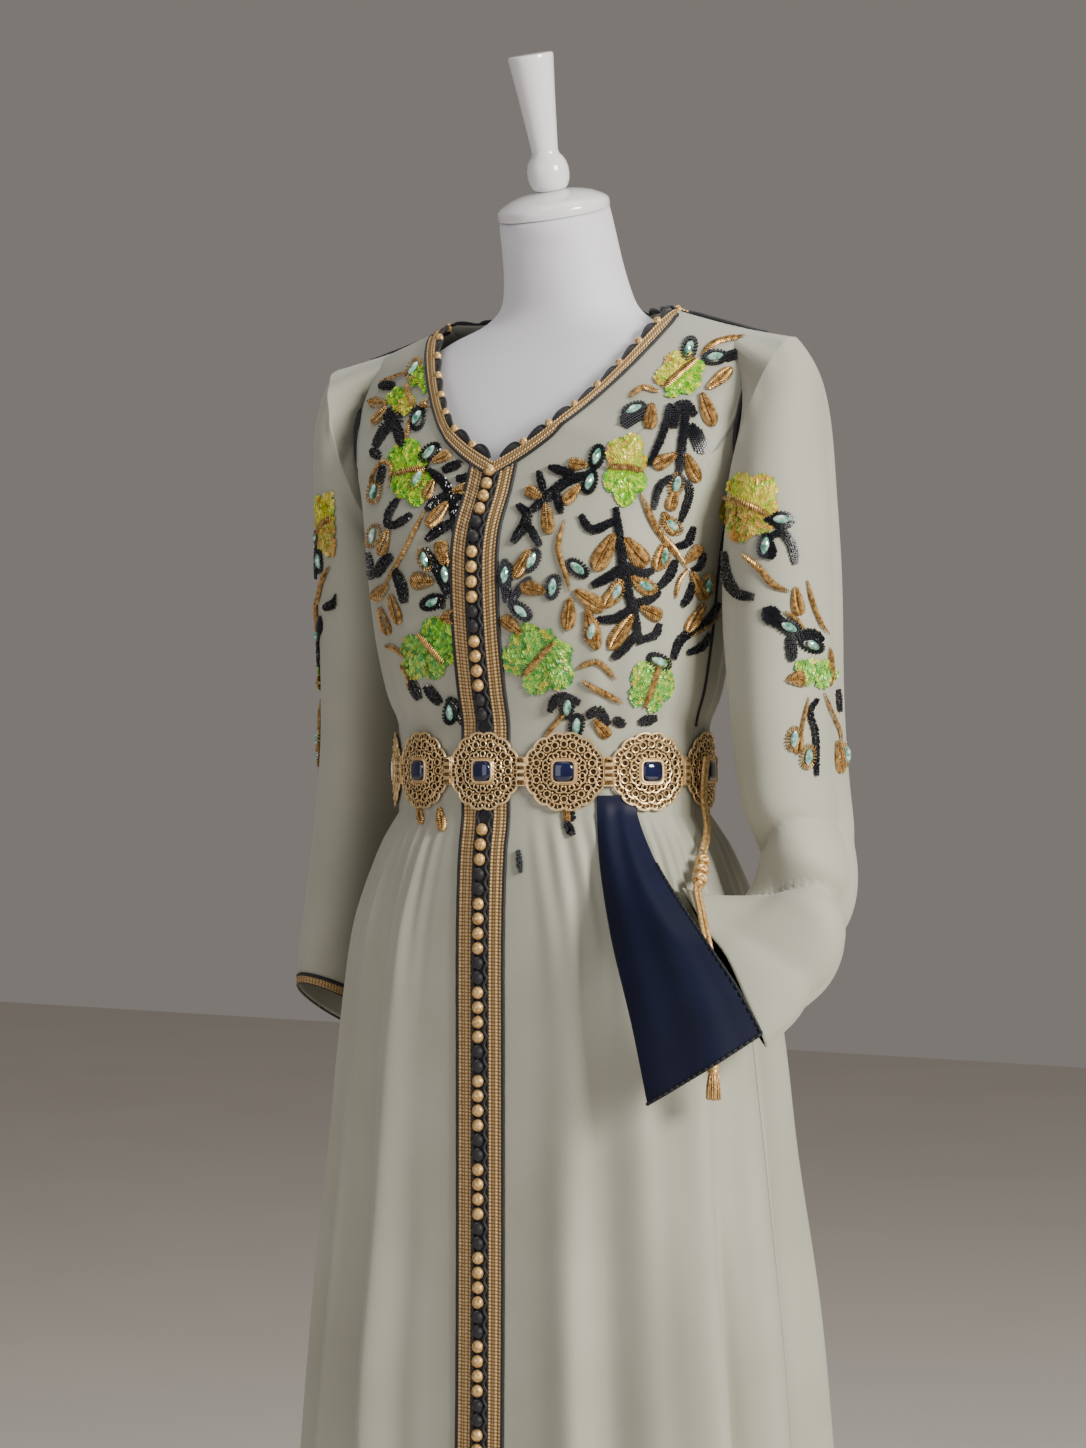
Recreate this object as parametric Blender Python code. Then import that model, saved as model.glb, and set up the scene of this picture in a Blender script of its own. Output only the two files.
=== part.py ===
"""A belted kaftan on a limbless dress form that stands on a pole and a round base.

+Z is up, the wearer faces -Y and the wearer's left side is +X. The origin is under the middle of the base.
All lengths are in metres.
"""

import math

import bmesh
import bpy
from mathutils import Vector

# Driving sizes
CLOTH = 0.0015  # thickness of a cloth wall
SEAM = 0.0003  # gap between two pieces that touch
HEM_Z = 0.05
WAIST_Z = 1.04  # middle height of the belt
BELT_LOW = 1.002  # the belt presses the cloth flat between these two heights
BELT_HIGH = 1.078
NECK_V_Z = 1.304  # lowest point of the neckline
NECK_SIDE_X = 0.12
NECK_SIDE_Z = 1.437  # where the neckline meets the shoulder seam
SHOULDER_X = 0.2
SHOULDER_Z = 1.412  # outer end of the shoulder seam
UNDERARM_Z = 1.245
CHANNEL_HALF = 0.008  # half width of the dark button channel
BRAID_OUT = 0.022  # how far from the centre the front braid reaches
NECK_BRAID = 0.013  # width of the neckline braid
TRIM = 0.0012  # thickness of a braid
FOLDS = 17  # soft folds round the skirt
MEDALLIONS = 11
MEDALLION_HALF_HEIGHT = 0.0345
MEDALLION_THICK = 0.0024
LINK_WIDTH = 0.009
BELT_OFF = 0.0019  # the belt lies this far outside the cloth
CORD_R = 0.0022
BUTTON_PITCH = 0.0125
BUTTON_HIGH = 0.0036

# The kaftan's outline: height, half width, depth in front, depth behind, squareness of the section
OUTLINE = [
    (0.05, 0.262, 0.130, 0.225, 2.6),
    (0.44, 0.226, 0.120, 0.190, 2.6),
    (0.60, 0.212, 0.118, 0.178, 2.6),
    (0.80, 0.193, 0.118, 0.160, 2.6),
    (0.90, 0.178, 0.118, 0.145, 2.5),
    (0.97, 0.157, 0.115, 0.122, 2.3),
    (1.002, 0.1425, 0.110, 0.105, 2.2),
    (1.078, 0.1425, 0.110, 0.105, 2.2),
    (1.11, 0.151, 0.117, 0.109, 2.3),
    (1.16, 0.159, 0.125, 0.113, 2.5),
    (1.216, 0.165, 0.128, 0.118, 2.6),
    (1.245, 0.170, 0.123, 0.120, 2.6),
    (1.28, 0.182, 0.107, 0.121, 2.6),
    (1.33, 0.200, 0.094, 0.118, 2.6),
    (1.38, 0.207, 0.085, 0.110, 2.6),
    (1.45, 0.208, 0.078, 0.100, 2.6),
]

# The dress form: height, half width, depth in front, depth behind, middle of the section in y
FORM = [
    (0.80, 0.120, 0.085, 0.105, 0.010),
    (0.86, 0.146, 0.098, 0.122, 0.010),
    (0.92, 0.150, 0.100, 0.124, 0.008),
    (0.99, 0.1400, 0.1070, 0.1022, 0.000),
    (1.04, 0.1403, 0.1078, 0.1028, 0.000),
    (1.09, 0.1400, 0.1070, 0.1022, 0.000),
    (1.17, 0.146, 0.114, 0.104, 0.000),
    (1.216, 0.151, 0.117, 0.107, 0.001),
    (1.26, 0.154, 0.107, 0.108, 0.003),
    (1.30, 0.158, 0.090, 0.107, 0.006),
    (1.34, 0.165, 0.074, 0.101, 0.009),
    (1.38, 0.162, 0.058, 0.088, 0.012),
    (1.405, 0.142, 0.049, 0.073, 0.015),
    (1.422, 0.114, 0.047, 0.061, 0.019),
    (1.434, 0.082, 0.049, 0.055, 0.024),
    (1.448, 0.063, 0.051, 0.053, 0.026),
    (1.470, 0.055, 0.051, 0.051, 0.021),
    (1.500, 0.051, 0.049, 0.049, 0.011),
    (1.528, 0.0475, 0.0465, 0.0465, 0.001),
]
FORM_SIDES = 32


def clean_scene():
    for obj in list(bpy.data.objects):
        bpy.data.objects.remove(obj, do_unlink=True)


def material(name, color, roughness, metallic=0.0):
    made = bpy.data.materials.new(name)
    made.use_nodes = True
    surface = made.node_tree.nodes["Principled BSDF"]
    surface.inputs["Base Color"].default_value = (*color, 1.0)
    surface.inputs["Roughness"].default_value = roughness
    surface.inputs["Metallic"].default_value = metallic
    return made


def add_mesh(name, points, faces, look):
    mesh = bpy.data.meshes.new(name)
    mesh.from_pydata([tuple(p) for p in points], [], faces)
    mesh.update()
    mesh.materials.append(look)
    mesh.shade_smooth()
    obj = bpy.data.objects.new(name, mesh)
    bpy.context.collection.objects.link(obj)
    return obj


def spline(rows, at):
    """A smooth value of each column of a table at a height, through the table's rows."""
    last = len(rows) - 1
    i = 0
    while i < last - 1 and rows[i + 1][0] <= at:
        i += 1
    t = (at - rows[i][0]) / (rows[i + 1][0] - rows[i][0])
    t = min(1.0, max(0.0, t))
    values = []
    for k in range(1, len(rows[0])):
        p1, p2 = rows[i][k], rows[i + 1][k]
        step = rows[i + 1][0] - rows[i][0]
        before = max(i - 1, 0)
        after = min(i + 2, last)
        m1 = (p2 - rows[before][k]) / (rows[i + 1][0] - rows[before][0]) * step
        m2 = (rows[after][k] - p1) / (rows[after][0] - rows[i][0]) * step
        h = (2 * t**3 - 3 * t**2 + 1) * p1 + (t**3 - 2 * t**2 + t) * m1
        values.append(h + (3 * t**2 - 2 * t**3) * p2 + (t**3 - t**2) * m2)
    return values


def smooth(t):
    t = min(1.0, max(0.0, t))
    return t * t * (3 - 2 * t)


def shoulder_height(x):
    slope = (NECK_SIDE_Z - SHOULDER_Z) / (SHOULDER_X - NECK_SIDE_X)
    return NECK_SIDE_Z - slope * (abs(x) - NECK_SIDE_X)


def fold(turn, z):
    """How far the skirt's folds stand out; turn goes round from the centre front, in radians."""
    if z >= BELT_LOW:
        return 0.0
    depth = 0.004 * smooth((BELT_LOW - z) / 0.12) + 0.006 * smooth((0.90 - z) / 0.45)
    depth += 0.004 * smooth((0.45 - z) / 0.4)
    wave = math.cos(FOLDS * turn + 0.9 * math.sin(2 * turn + 0.6) + 0.6 * math.sin(3.0 * z + turn))
    near_placket = smooth((abs(math.remainder(turn, 2 * math.pi)) - 0.16) / 0.3)
    return depth * (0.5 + 0.5 * wave) * near_placket


def on_cloth(x_sign, section, z, behind, out=0.0):
    """A point of the kaftan's outer face.

    section is 0 at the middle of the front or back and a quarter turn at the side seam.
    """
    half, front, back, n = spline(OUTLINE, z)
    depth = back if behind else front
    x = half * abs(math.sin(section)) ** (2 / n)
    y = depth * abs(math.cos(section)) ** (2 / n)
    turn = math.pi - section if behind else section
    grow = 1 + (fold(x_sign * turn, z) + out) / max(0.05, math.hypot(x, y))
    x, y = x * grow, y * grow
    close = 0.035 if behind else 0.12
    y *= math.sqrt(min(1.0, max(0.0, (shoulder_height(x) - z) / close)))
    y = y if behind else -y
    y += 0.012 * smooth((z - 1.25) / 0.16)
    return Vector((x_sign * x, y, z))


def section_at(x, z):
    half, _, _, n = spline(OUTLINE, z)
    return math.asin(min(1.0, abs(x) / half) ** (n / 2))


def armhole(t):
    """X and z of the armhole edge, from the shoulder (0) to the underarm (1)."""
    z = SHOULDER_Z + (UNDERARM_Z - SHOULDER_Z) * (0.5 - 0.5 * math.cos(math.pi * t))
    under_x = spline(OUTLINE, UNDERARM_Z)[0]
    x = under_x + (SHOULDER_X - under_x) * math.cos(math.pi * t / 2) ** 0.7 if t < 1 else under_x
    return x, z


def neckline_front(x):
    share = min(1.0, x / NECK_SIDE_X)
    return NECK_V_Z + (NECK_SIDE_Z - NECK_V_Z) * (0.45 * share + 0.55 * share**3)


def front_tops():
    """X and z of the top end of each column of a front panel."""
    xs = [SEAM / 2, CHANNEL_HALF, BRAID_OUT, 0.040, 0.058, 0.076, 0.093, 0.107, 0.116, NECK_SIDE_X]
    tops = [(x, neckline_front(x)) for x in xs]
    for k in (1, 2, 3):
        x = NECK_SIDE_X + (SHOULDER_X - NECK_SIDE_X) * k / 3
        tops.append((x, shoulder_height(x) - 0.0004))
    tops += [armhole(k / 7) for k in range(1, 8)]
    return tops


def back_tops():
    tops = [armhole(1 - k / 7) for k in range(7)]
    for k in (3, 2, 1, 0):
        x = NECK_SIDE_X + (SHOULDER_X - NECK_SIDE_X) * k / 3
        tops.append((x, shoulder_height(x) - 0.0004))
    for k in range(1, 7):
        s = math.pi / 2 * k / 6
        tops.append((NECK_SIDE_X * math.cos(s), NECK_SIDE_Z + 0.008 * math.sin(s)))
    return tops


BODICE_ROWS = 9
SPREAD = 0.2  # how far the columns by the neck's side bend outwards, in radians of the section
SKIRT_ROWS = 12


def column(x_sign, top, waist_section, behind, fixed_x=None, side_gap=0.0, spread=0.0):
    """The points of one column of a panel, from the hem up to its top end.

    spread bends the columns that end near the neck's side outwards, so that they leave its edge squarely.
    """
    top_x, top_z = top
    top_section = section_at(top_x, top_z)

    def point(z):
        if fixed_x is not None:
            section = section_at(fixed_x, z)
        else:
            v = smooth((z - BELT_HIGH) / (top_z - BELT_HIGH))
            section = waist_section + (top_section - waist_section) * v
            below = min(1.0, max(0.0, (top_z - z) / 0.12))
            section += spread * math.sin(math.pi * below)
        p = on_cloth(x_sign, section, z, behind)
        p.y += side_gap
        return p

    # The last row lies one braid's width below the top end, measured along the cloth.
    low, high, end = top_z - 0.05, top_z, point(top_z)
    for _ in range(30):
        last = (low + high) / 2
        if (point(last) - end).length > NECK_BRAID:
            low = last
        else:
            high = last
    heights = [HEM_Z + (BELT_LOW - HEM_Z) * (k / SKIRT_ROWS) ** 0.8 for k in range(SKIRT_ROWS + 1)]
    for k in range(BODICE_ROWS):
        share = 1 - (1 - k / (BODICE_ROWS - 1)) ** 1.5
        heights.append(BELT_HIGH + (last - BELT_HIGH) * share)
    heights.append(top_z)
    return [point(z) for z in heights]


def front_columns(x_sign):
    tops = front_tops()
    start = section_at(BRAID_OUT, WAIST_Z)
    columns = []
    for i, top in enumerate(tops):
        if i < 3:
            columns.append(column(x_sign, top, 0, False, fixed_x=top[0]))
        else:
            share = (i - 2) / (len(tops) - 3)
            columns.append(column(x_sign, top, start + (math.pi / 2 - start) * share, False,
                                  side_gap=-SEAM / 2 * smooth((share - 0.5) * 2),
                                  spread=SPREAD * math.exp(-(((i - 9) / (2.2 if i > 9 else 2.5)) ** 2))))
    for k in range(10, 14):
        columns[k - 1][-1].y -= SEAM
    return columns


def back_columns():
    tops = back_tops()
    columns = []
    for x_sign in (1, -1):
        half = []
        for j, top in enumerate(tops):
            share = j / (len(tops) - 1)
            half.append(column(x_sign, top, math.pi / 2 * (1 - share), True,
                               side_gap=SEAM / 2 * smooth(1 - share * 2),
                               spread=SPREAD * math.exp(-(((j - 10) / (2.2 if j < 10 else 2.5)) ** 2))))
        for k in range(7, 11):
            half[k][-1].y += SEAM
        columns.append(half)
    return columns[0] + columns[1][-2::-1]


def sheet(name, columns, look, thick=CLOTH, flip=False):
    """A closed wall: the grid of points is its outer face, and Solidify gives it its thickness."""
    rows = len(columns[0])
    points = [p for c in columns for p in c]
    faces = []
    for i in range(len(columns) - 1):
        for k in range(rows - 1):
            a = i * rows + k
            # Both the panels and what lies on them split each square along the same diagonal.
            for face in ((a, a + rows, a + rows + 1), (a, a + rows + 1, a + 1)):
                faces.append(face[::-1] if flip else face)
    obj = add_mesh(name, points, faces, look)
    wall = obj.modifiers.new("wall", "SOLIDIFY")
    wall.thickness = thick
    wall.offset = -1
    wall.use_even_offset = False
    return obj


def lifted(points_a, points_b, points_c, lift):
    """The middle line moved off the cloth, along the face's direction that its two neighbours give."""
    out = []
    for k, p in enumerate(points_b):
        low = points_b[max(k - 1, 0)]
        high = points_b[min(k + 1, len(points_b) - 1)]
        across = points_c[k] - points_a[k]
        n = across.cross(high - low).normalized()
        if n.dot(Vector((p.x, p.y, 0.3 * smooth((p.z - 1.36) / 0.04)))) < 0:
            n = -n
        out.append(p + n * lift)
    return out


def strip(name, columns, look, lift, thick=TRIM, flip=False):
    """A trim on a panel, made from the panel's own points, moved out."""
    raised = []
    for i, c in enumerate(columns):
        before = columns[max(i - 1, 0)]
        after = columns[min(i + 1, len(columns) - 1)]
        raised.append(lifted(before, c, after, lift))
    return sheet(name, raised, look, thick, flip)


def between(a, b, share):
    return [p + (q - p) * share for p, q in zip(a, b)]


def ring_line():
    """The belt's line round the waist: points, outward directions and lengths along it."""
    points = []
    steps = 720
    for k in range(steps):
        turn = 2 * math.pi * k / steps
        behind = math.pi / 2 < turn < 1.5 * math.pi
        section = math.asin(abs(math.sin(turn)))
        p = on_cloth(1 if math.sin(turn) >= 0 else -1, section, BELT_LOW, behind)
        points.append(p)
    lengths = [0.0]
    for k in range(steps):
        lengths.append(lengths[-1] + (points[(k + 1) % steps] - points[k]).length)
    return points, lengths


RING, RING_LENGTHS = [], []


def on_ring(s, z, out):
    """A point at length s round the belt's line from the centre front, at height z."""
    total = RING_LENGTHS[-1]
    s = s % total
    lo, hi = 0, len(RING_LENGTHS) - 1
    while hi - lo > 1:
        mid = (lo + hi) // 2
        if RING_LENGTHS[mid] <= s:
            lo = mid
        else:
            hi = mid
    step = RING_LENGTHS[lo + 1] - RING_LENGTHS[lo]
    t = (s - RING_LENGTHS[lo]) / step
    count = len(RING)
    p = RING[lo].lerp(RING[(lo + 1) % count], t)
    along = RING[(lo + 3) % count] - RING[(lo - 2) % count]
    n = Vector((-along.y, along.x, 0)).normalized()
    if n.dot(p) < 0:
        n = -n
    q = p + n * out
    return Vector((q.x, q.y, z))


def ring_plate(name, middle, outline, inner, lift, thick, look, dome=0.0):
    """A plate that bends with the belt: a middle point, an inner ring and an outer outline."""
    count = len(outline)
    rings = [[(0.0, 0.0)], inner, outline]
    heights = [dome, dome, 0.0]
    points = []
    for side in (0, 1):
        for ring, h in zip(rings, heights):
            for s, t in ring:
                out = lift + (thick + h if side else 0.0)
                points.append(on_ring(middle + s, WAIST_Z + t, out))
    half = 1 + 2 * count
    faces = []
    for k in range(count):
        n = (k + 1) % count
        faces.append((half, half + 1 + k, half + 1 + n))
        faces.append((0, 1 + n, 1 + k))
        faces.append((half + 1 + k, half + 1 + count + k, half + 1 + count + n, half + 1 + n))
        faces.append((1 + n, 1 + count + n, 1 + count + k, 1 + k))
        faces.append((half + 1 + count + k, 1 + count + k, 1 + count + n, half + 1 + count + n))
    obj = add_mesh(name, points, faces, look)
    build = bmesh.new()
    build.from_mesh(obj.data)
    bmesh.ops.recalc_face_normals(build, faces=build.faces)
    build.to_mesh(obj.data)
    build.free()
    return obj


def lathe(name, profile, base, axis, sides, look):
    """A turned solid: radius and height pairs from the bottom up, round an axis from a base point."""
    axis = axis.normalized()
    side = axis.cross(Vector((0, 1, 0))).normalized()
    third = axis.cross(side)
    points = [base + axis * profile[0][1]]
    for r, h in profile:
        for k in range(sides):
            a = 2 * math.pi * k / sides
            points.append(base + axis * h + side * (r * math.cos(a)) + third * (r * math.sin(a)))
    points.append(base + axis * profile[-1][1])
    faces = []
    top = len(points) - 1
    for k in range(sides):
        n = (k + 1) % sides
        faces.append((0, 1 + n, 1 + k))
        for row in range(len(profile) - 1):
            a = 1 + row * sides
            faces.append((a + k, a + n, a + sides + n, a + sides + k))
        a = 1 + (len(profile) - 1) * sides
        faces.append((a + k, a + n, top))
    obj = add_mesh(name, points, faces, look)
    build = bmesh.new()
    build.from_mesh(obj.data)
    bmesh.ops.recalc_face_normals(build, faces=build.faces)
    build.to_mesh(obj.data)
    build.free()
    obj.data.set_sharp_from_angle(angle=math.radians(40))
    return obj


def catmull(stations, share):
    """A smooth point through a list of equal-length tuples; share runs from 0 to 1."""
    last = len(stations) - 1
    at = share * last
    i = min(int(at), last - 1)
    t = at - i
    p0 = stations[max(i - 1, 0)]
    p1, p2 = stations[i], stations[i + 1]
    p3 = stations[min(i + 2, last)]
    out = []
    for a, b, c, d in zip(p0, p1, p2, p3):
        out.append(0.5 * (2 * b + (c - a) * t + (2 * a - 5 * b + 4 * c - d) * t**2
                          + (3 * b - a - 3 * c + d) * t**3))
    return out


# A sleeve's stations: middle x y z, the direction of its first half size x y z, the half sizes,
# and the direction that it runs in x y z.
SLEEVE_LEFT = [
    (0.2060, 0.007, 1.326, 0.33, 0.0, 0.95, 0.085, 0.044, 0.95, 0.0, -0.33),
    (0.216, 0.007, 1.304, 0.50, 0.0, 0.87, 0.077, 0.049, 0.87, 0.0, -0.50),
    (0.218, 0.008, 1.240, 0.76, 0.0, 0.65, 0.058, 0.054, 0.65, 0.0, -0.76),
    (0.219, 0.014, 1.130, 0.98, 0.0, 0.15, 0.044, 0.058, 0.10, 0.05, -0.98),
    (0.223, 0.022, 1.030, 1.00, 0.0, 0.00, 0.040, 0.058, 0.02, 0.05, -1.0),
    (0.235, 0.022, 0.960, 0.95, 0.0, -0.30, 0.039, 0.050, -0.10, -0.35, -0.93),
    (0.236, -0.013, 0.905, 0.75, 0.0, -0.66, 0.050, 0.031, -0.35, -0.75, -0.55),
    (0.2095, -0.062, 0.882, 0.56, -0.05, -0.83, 0.076, 0.013, -0.40, -0.88, -0.20),
]
SLEEVE_RIGHT = [
    (-0.2065, 0.007, 1.326, -0.33, 0.0, 0.95, 0.085, 0.044, -0.95, 0.0, -0.33),
    (-0.212, 0.008, 1.302, -0.46, 0.0, 0.89, 0.075, 0.049, -0.89, 0.0, -0.46),
    (-0.209, 0.012, 1.235, -0.80, 0.0, 0.60, 0.047, 0.053, -0.60, 0.0, -0.80),
    (-0.207, 0.018, 1.130, -0.98, 0.0, 0.15, 0.036, 0.056, -0.10, 0.02, -0.98),
    (-0.215, 0.024, 1.010, -1.00, 0.0, 0.00, 0.034, 0.060, -0.05, 0.03, -1.0),
    (-0.230, 0.028, 0.910, -1.00, 0.0, 0.00, 0.033, 0.065, -0.06, 0.03, -1.0),
    (-0.245, 0.030, 0.815, -1.00, 0.0, 0.00, 0.031, 0.070, -0.06, -0.42, -0.90),
]
SLEEVE_SIDES = 16
SLEEVE_ROWS = 14


def armhole_loop(x_sign, fronts, backs):
    """The armhole's edge points on the cloth, from the shoulder down the front and up the back."""
    front = [c[-1] for c in fronts[12:]]
    back = [c[-1] for c in backs]
    if x_sign > 0:
        behind = back[0:8]
    else:
        behind = back[::-1][0:8]
    loop = front + behind[1:-1]
    return [p + Vector((x_sign * 0.003, 0, 0)) for p in loop]


def sleeve_rings(stations, loop):
    """The rings of a sleeve, from the armhole to its open end."""
    closed = loop + [loop[0]]
    start = []
    for k in range(SLEEVE_SIDES):
        at = k / SLEEVE_SIDES * len(loop)
        i = int(at)
        start.append(closed[i].lerp(closed[i + 1], at - i))
    rings = [start]
    for row in range(SLEEVE_ROWS):
        values = catmull(stations, row / (SLEEVE_ROWS - 1))
        middle = Vector(values[0:3])
        run = Vector(values[8:11]).normalized()
        first = Vector(values[3:6])
        first = (first - run * first.dot(run)).normalized()
        # The second direction points to the front of the kaftan at the armhole.
        second = run.cross(first)
        if stations[0][0] < 0:
            second = -second
        ring = []
        for k in range(SLEEVE_SIDES):
            a = 2 * math.pi * k / SLEEVE_SIDES
            ring.append(middle + first * (values[6] * math.cos(a)) - second * (values[7] * math.sin(a)))
        rings.append(ring)
    return rings


def tube_wall(name, rings, look, thick=CLOTH):
    count = len(rings[0])
    points = [p for ring in rings for p in ring]
    faces = []
    for row in range(len(rings) - 1):
        for k in range(count):
            n = (k + 1) % count
            a = row * count
            faces.append((a + k, a + n, a + count + n, a + count + k))
    obj = add_mesh(name, points, faces, look)
    build = bmesh.new()
    build.from_mesh(obj.data)
    bmesh.ops.recalc_face_normals(build, faces=build.faces)
    middle = sum((p for p in rings[5]), Vector()) / count
    face = build.faces[:][5 * count]
    if face.normal.dot(face.calc_center_median() - middle) < 0:
        bmesh.ops.reverse_faces(build, faces=build.faces)
    build.to_mesh(obj.data)
    build.free()
    wall = obj.modifiers.new("wall", "SOLIDIFY")
    wall.thickness = thick
    wall.offset = -1
    wall.use_even_offset = False
    return obj


def cord(name, route, look, points=14):
    """A round cord along a smooth curve through the route's points."""
    data = bpy.data.curves.new(name, "CURVE")
    data.dimensions = "3D"
    line = data.splines.new("POLY")
    line.points.add(points - 1)
    for k in range(points):
        x, y, z = catmull(route, k / (points - 1))
        line.points[k].co = (x, y, z, 1)
    data.bevel_depth = CORD_R
    data.bevel_resolution = 2
    data.use_fill_caps = True
    data.materials.append(look)
    obj = bpy.data.objects.new(name, data)
    bpy.context.collection.objects.link(obj)
    return obj


def beside(route, shift):
    """The route moved sideways along the cloth, for one of two cords that hang together."""
    way = []
    for k, p in enumerate(route):
        run = Vector(route[min(k + 1, len(route) - 1)]) - Vector(route[max(k - 1, 0)])
        side = run.cross(Vector((p[0], p[1], 0))).normalized()
        way.append(tuple(Vector(p) + side * shift))
    return way


# The turned-out cuff lining: left edge x y z and right edge x y z of each row, from the belt down
LINING = [
    (0.0974, -0.0882, 1.003, 0.1232, -0.0653, 1.003),
    (0.1105, -0.105, 0.958, 0.160, -0.090, 0.958),
    (0.134, -0.126, 0.901, 0.220, -0.122, 0.905),
    (0.157, -0.133, 0.834, 0.248, -0.118, 0.866),
    (0.172, -0.133, 0.770, 0.262, -0.104, 0.830),
]


def button_channel(name, rights, lefts, look):
    """The dark channel down the front with its row of raised round buttons."""
    lines = [between(rights[0], rights[1], 0.93), between(lefts[0], lefts[1], 0.93)]
    steps = [max(1, round((q - p).length / BUTTON_PITCH)) for p, q in zip(lines[0], lines[0][1:])]
    fine = []
    for line in lines:
        out = [line[0]]
        for p, q, count in zip(line, line[1:], steps):
            out += [p.lerp(q, k / count) for k in range(1, count + 1)]
        fine.append(out)
    rows = len(fine[0])
    layers = []
    for lift in (SEAM + 0.0002, SEAM + TRIM):
        grid = []
        for i, c in enumerate(fine):
            before = fine[max(i - 1, 0)]
            after = fine[min(i + 1, len(fine) - 1)]
            grid.append(lifted(before, c, after, lift))
        layers.append([p for c in grid for p in c])
    count = len(layers[0])
    faces, seats = [], []
    for a in range(rows - 1):
        # There are no buttons under the belt.
        if fine[0][a + 1].z < BELT_LOW + 0.001 or fine[0][a].z > BELT_HIGH - 0.001:
            seats.append(len(faces))
        faces.append((count + a, count + a + rows, count + a + rows + 1, count + a + 1))
        faces.append((a + 1, a + rows + 1, a + rows, a))
    rim = list(range(rows)) + [rows + k for k in range(rows - 1, -1, -1)]
    for a, b in zip(rim, rim[1:] + rim[:1]):
        faces.append((count + a, count + b, b, a))
    obj = add_mesh(name, layers[0] + layers[1], faces, look)
    build = bmesh.new()
    build.from_mesh(obj.data)
    build.faces.ensure_lookup_table()
    cells = [build.faces[k] for k in seats]
    bmesh.ops.recalc_face_normals(build, faces=build.faces)
    bmesh.ops.inset_individual(build, faces=cells, thickness=0.0030, depth=BUTTON_HIGH)
    build.to_mesh(obj.data)
    build.free()
    return obj


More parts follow.
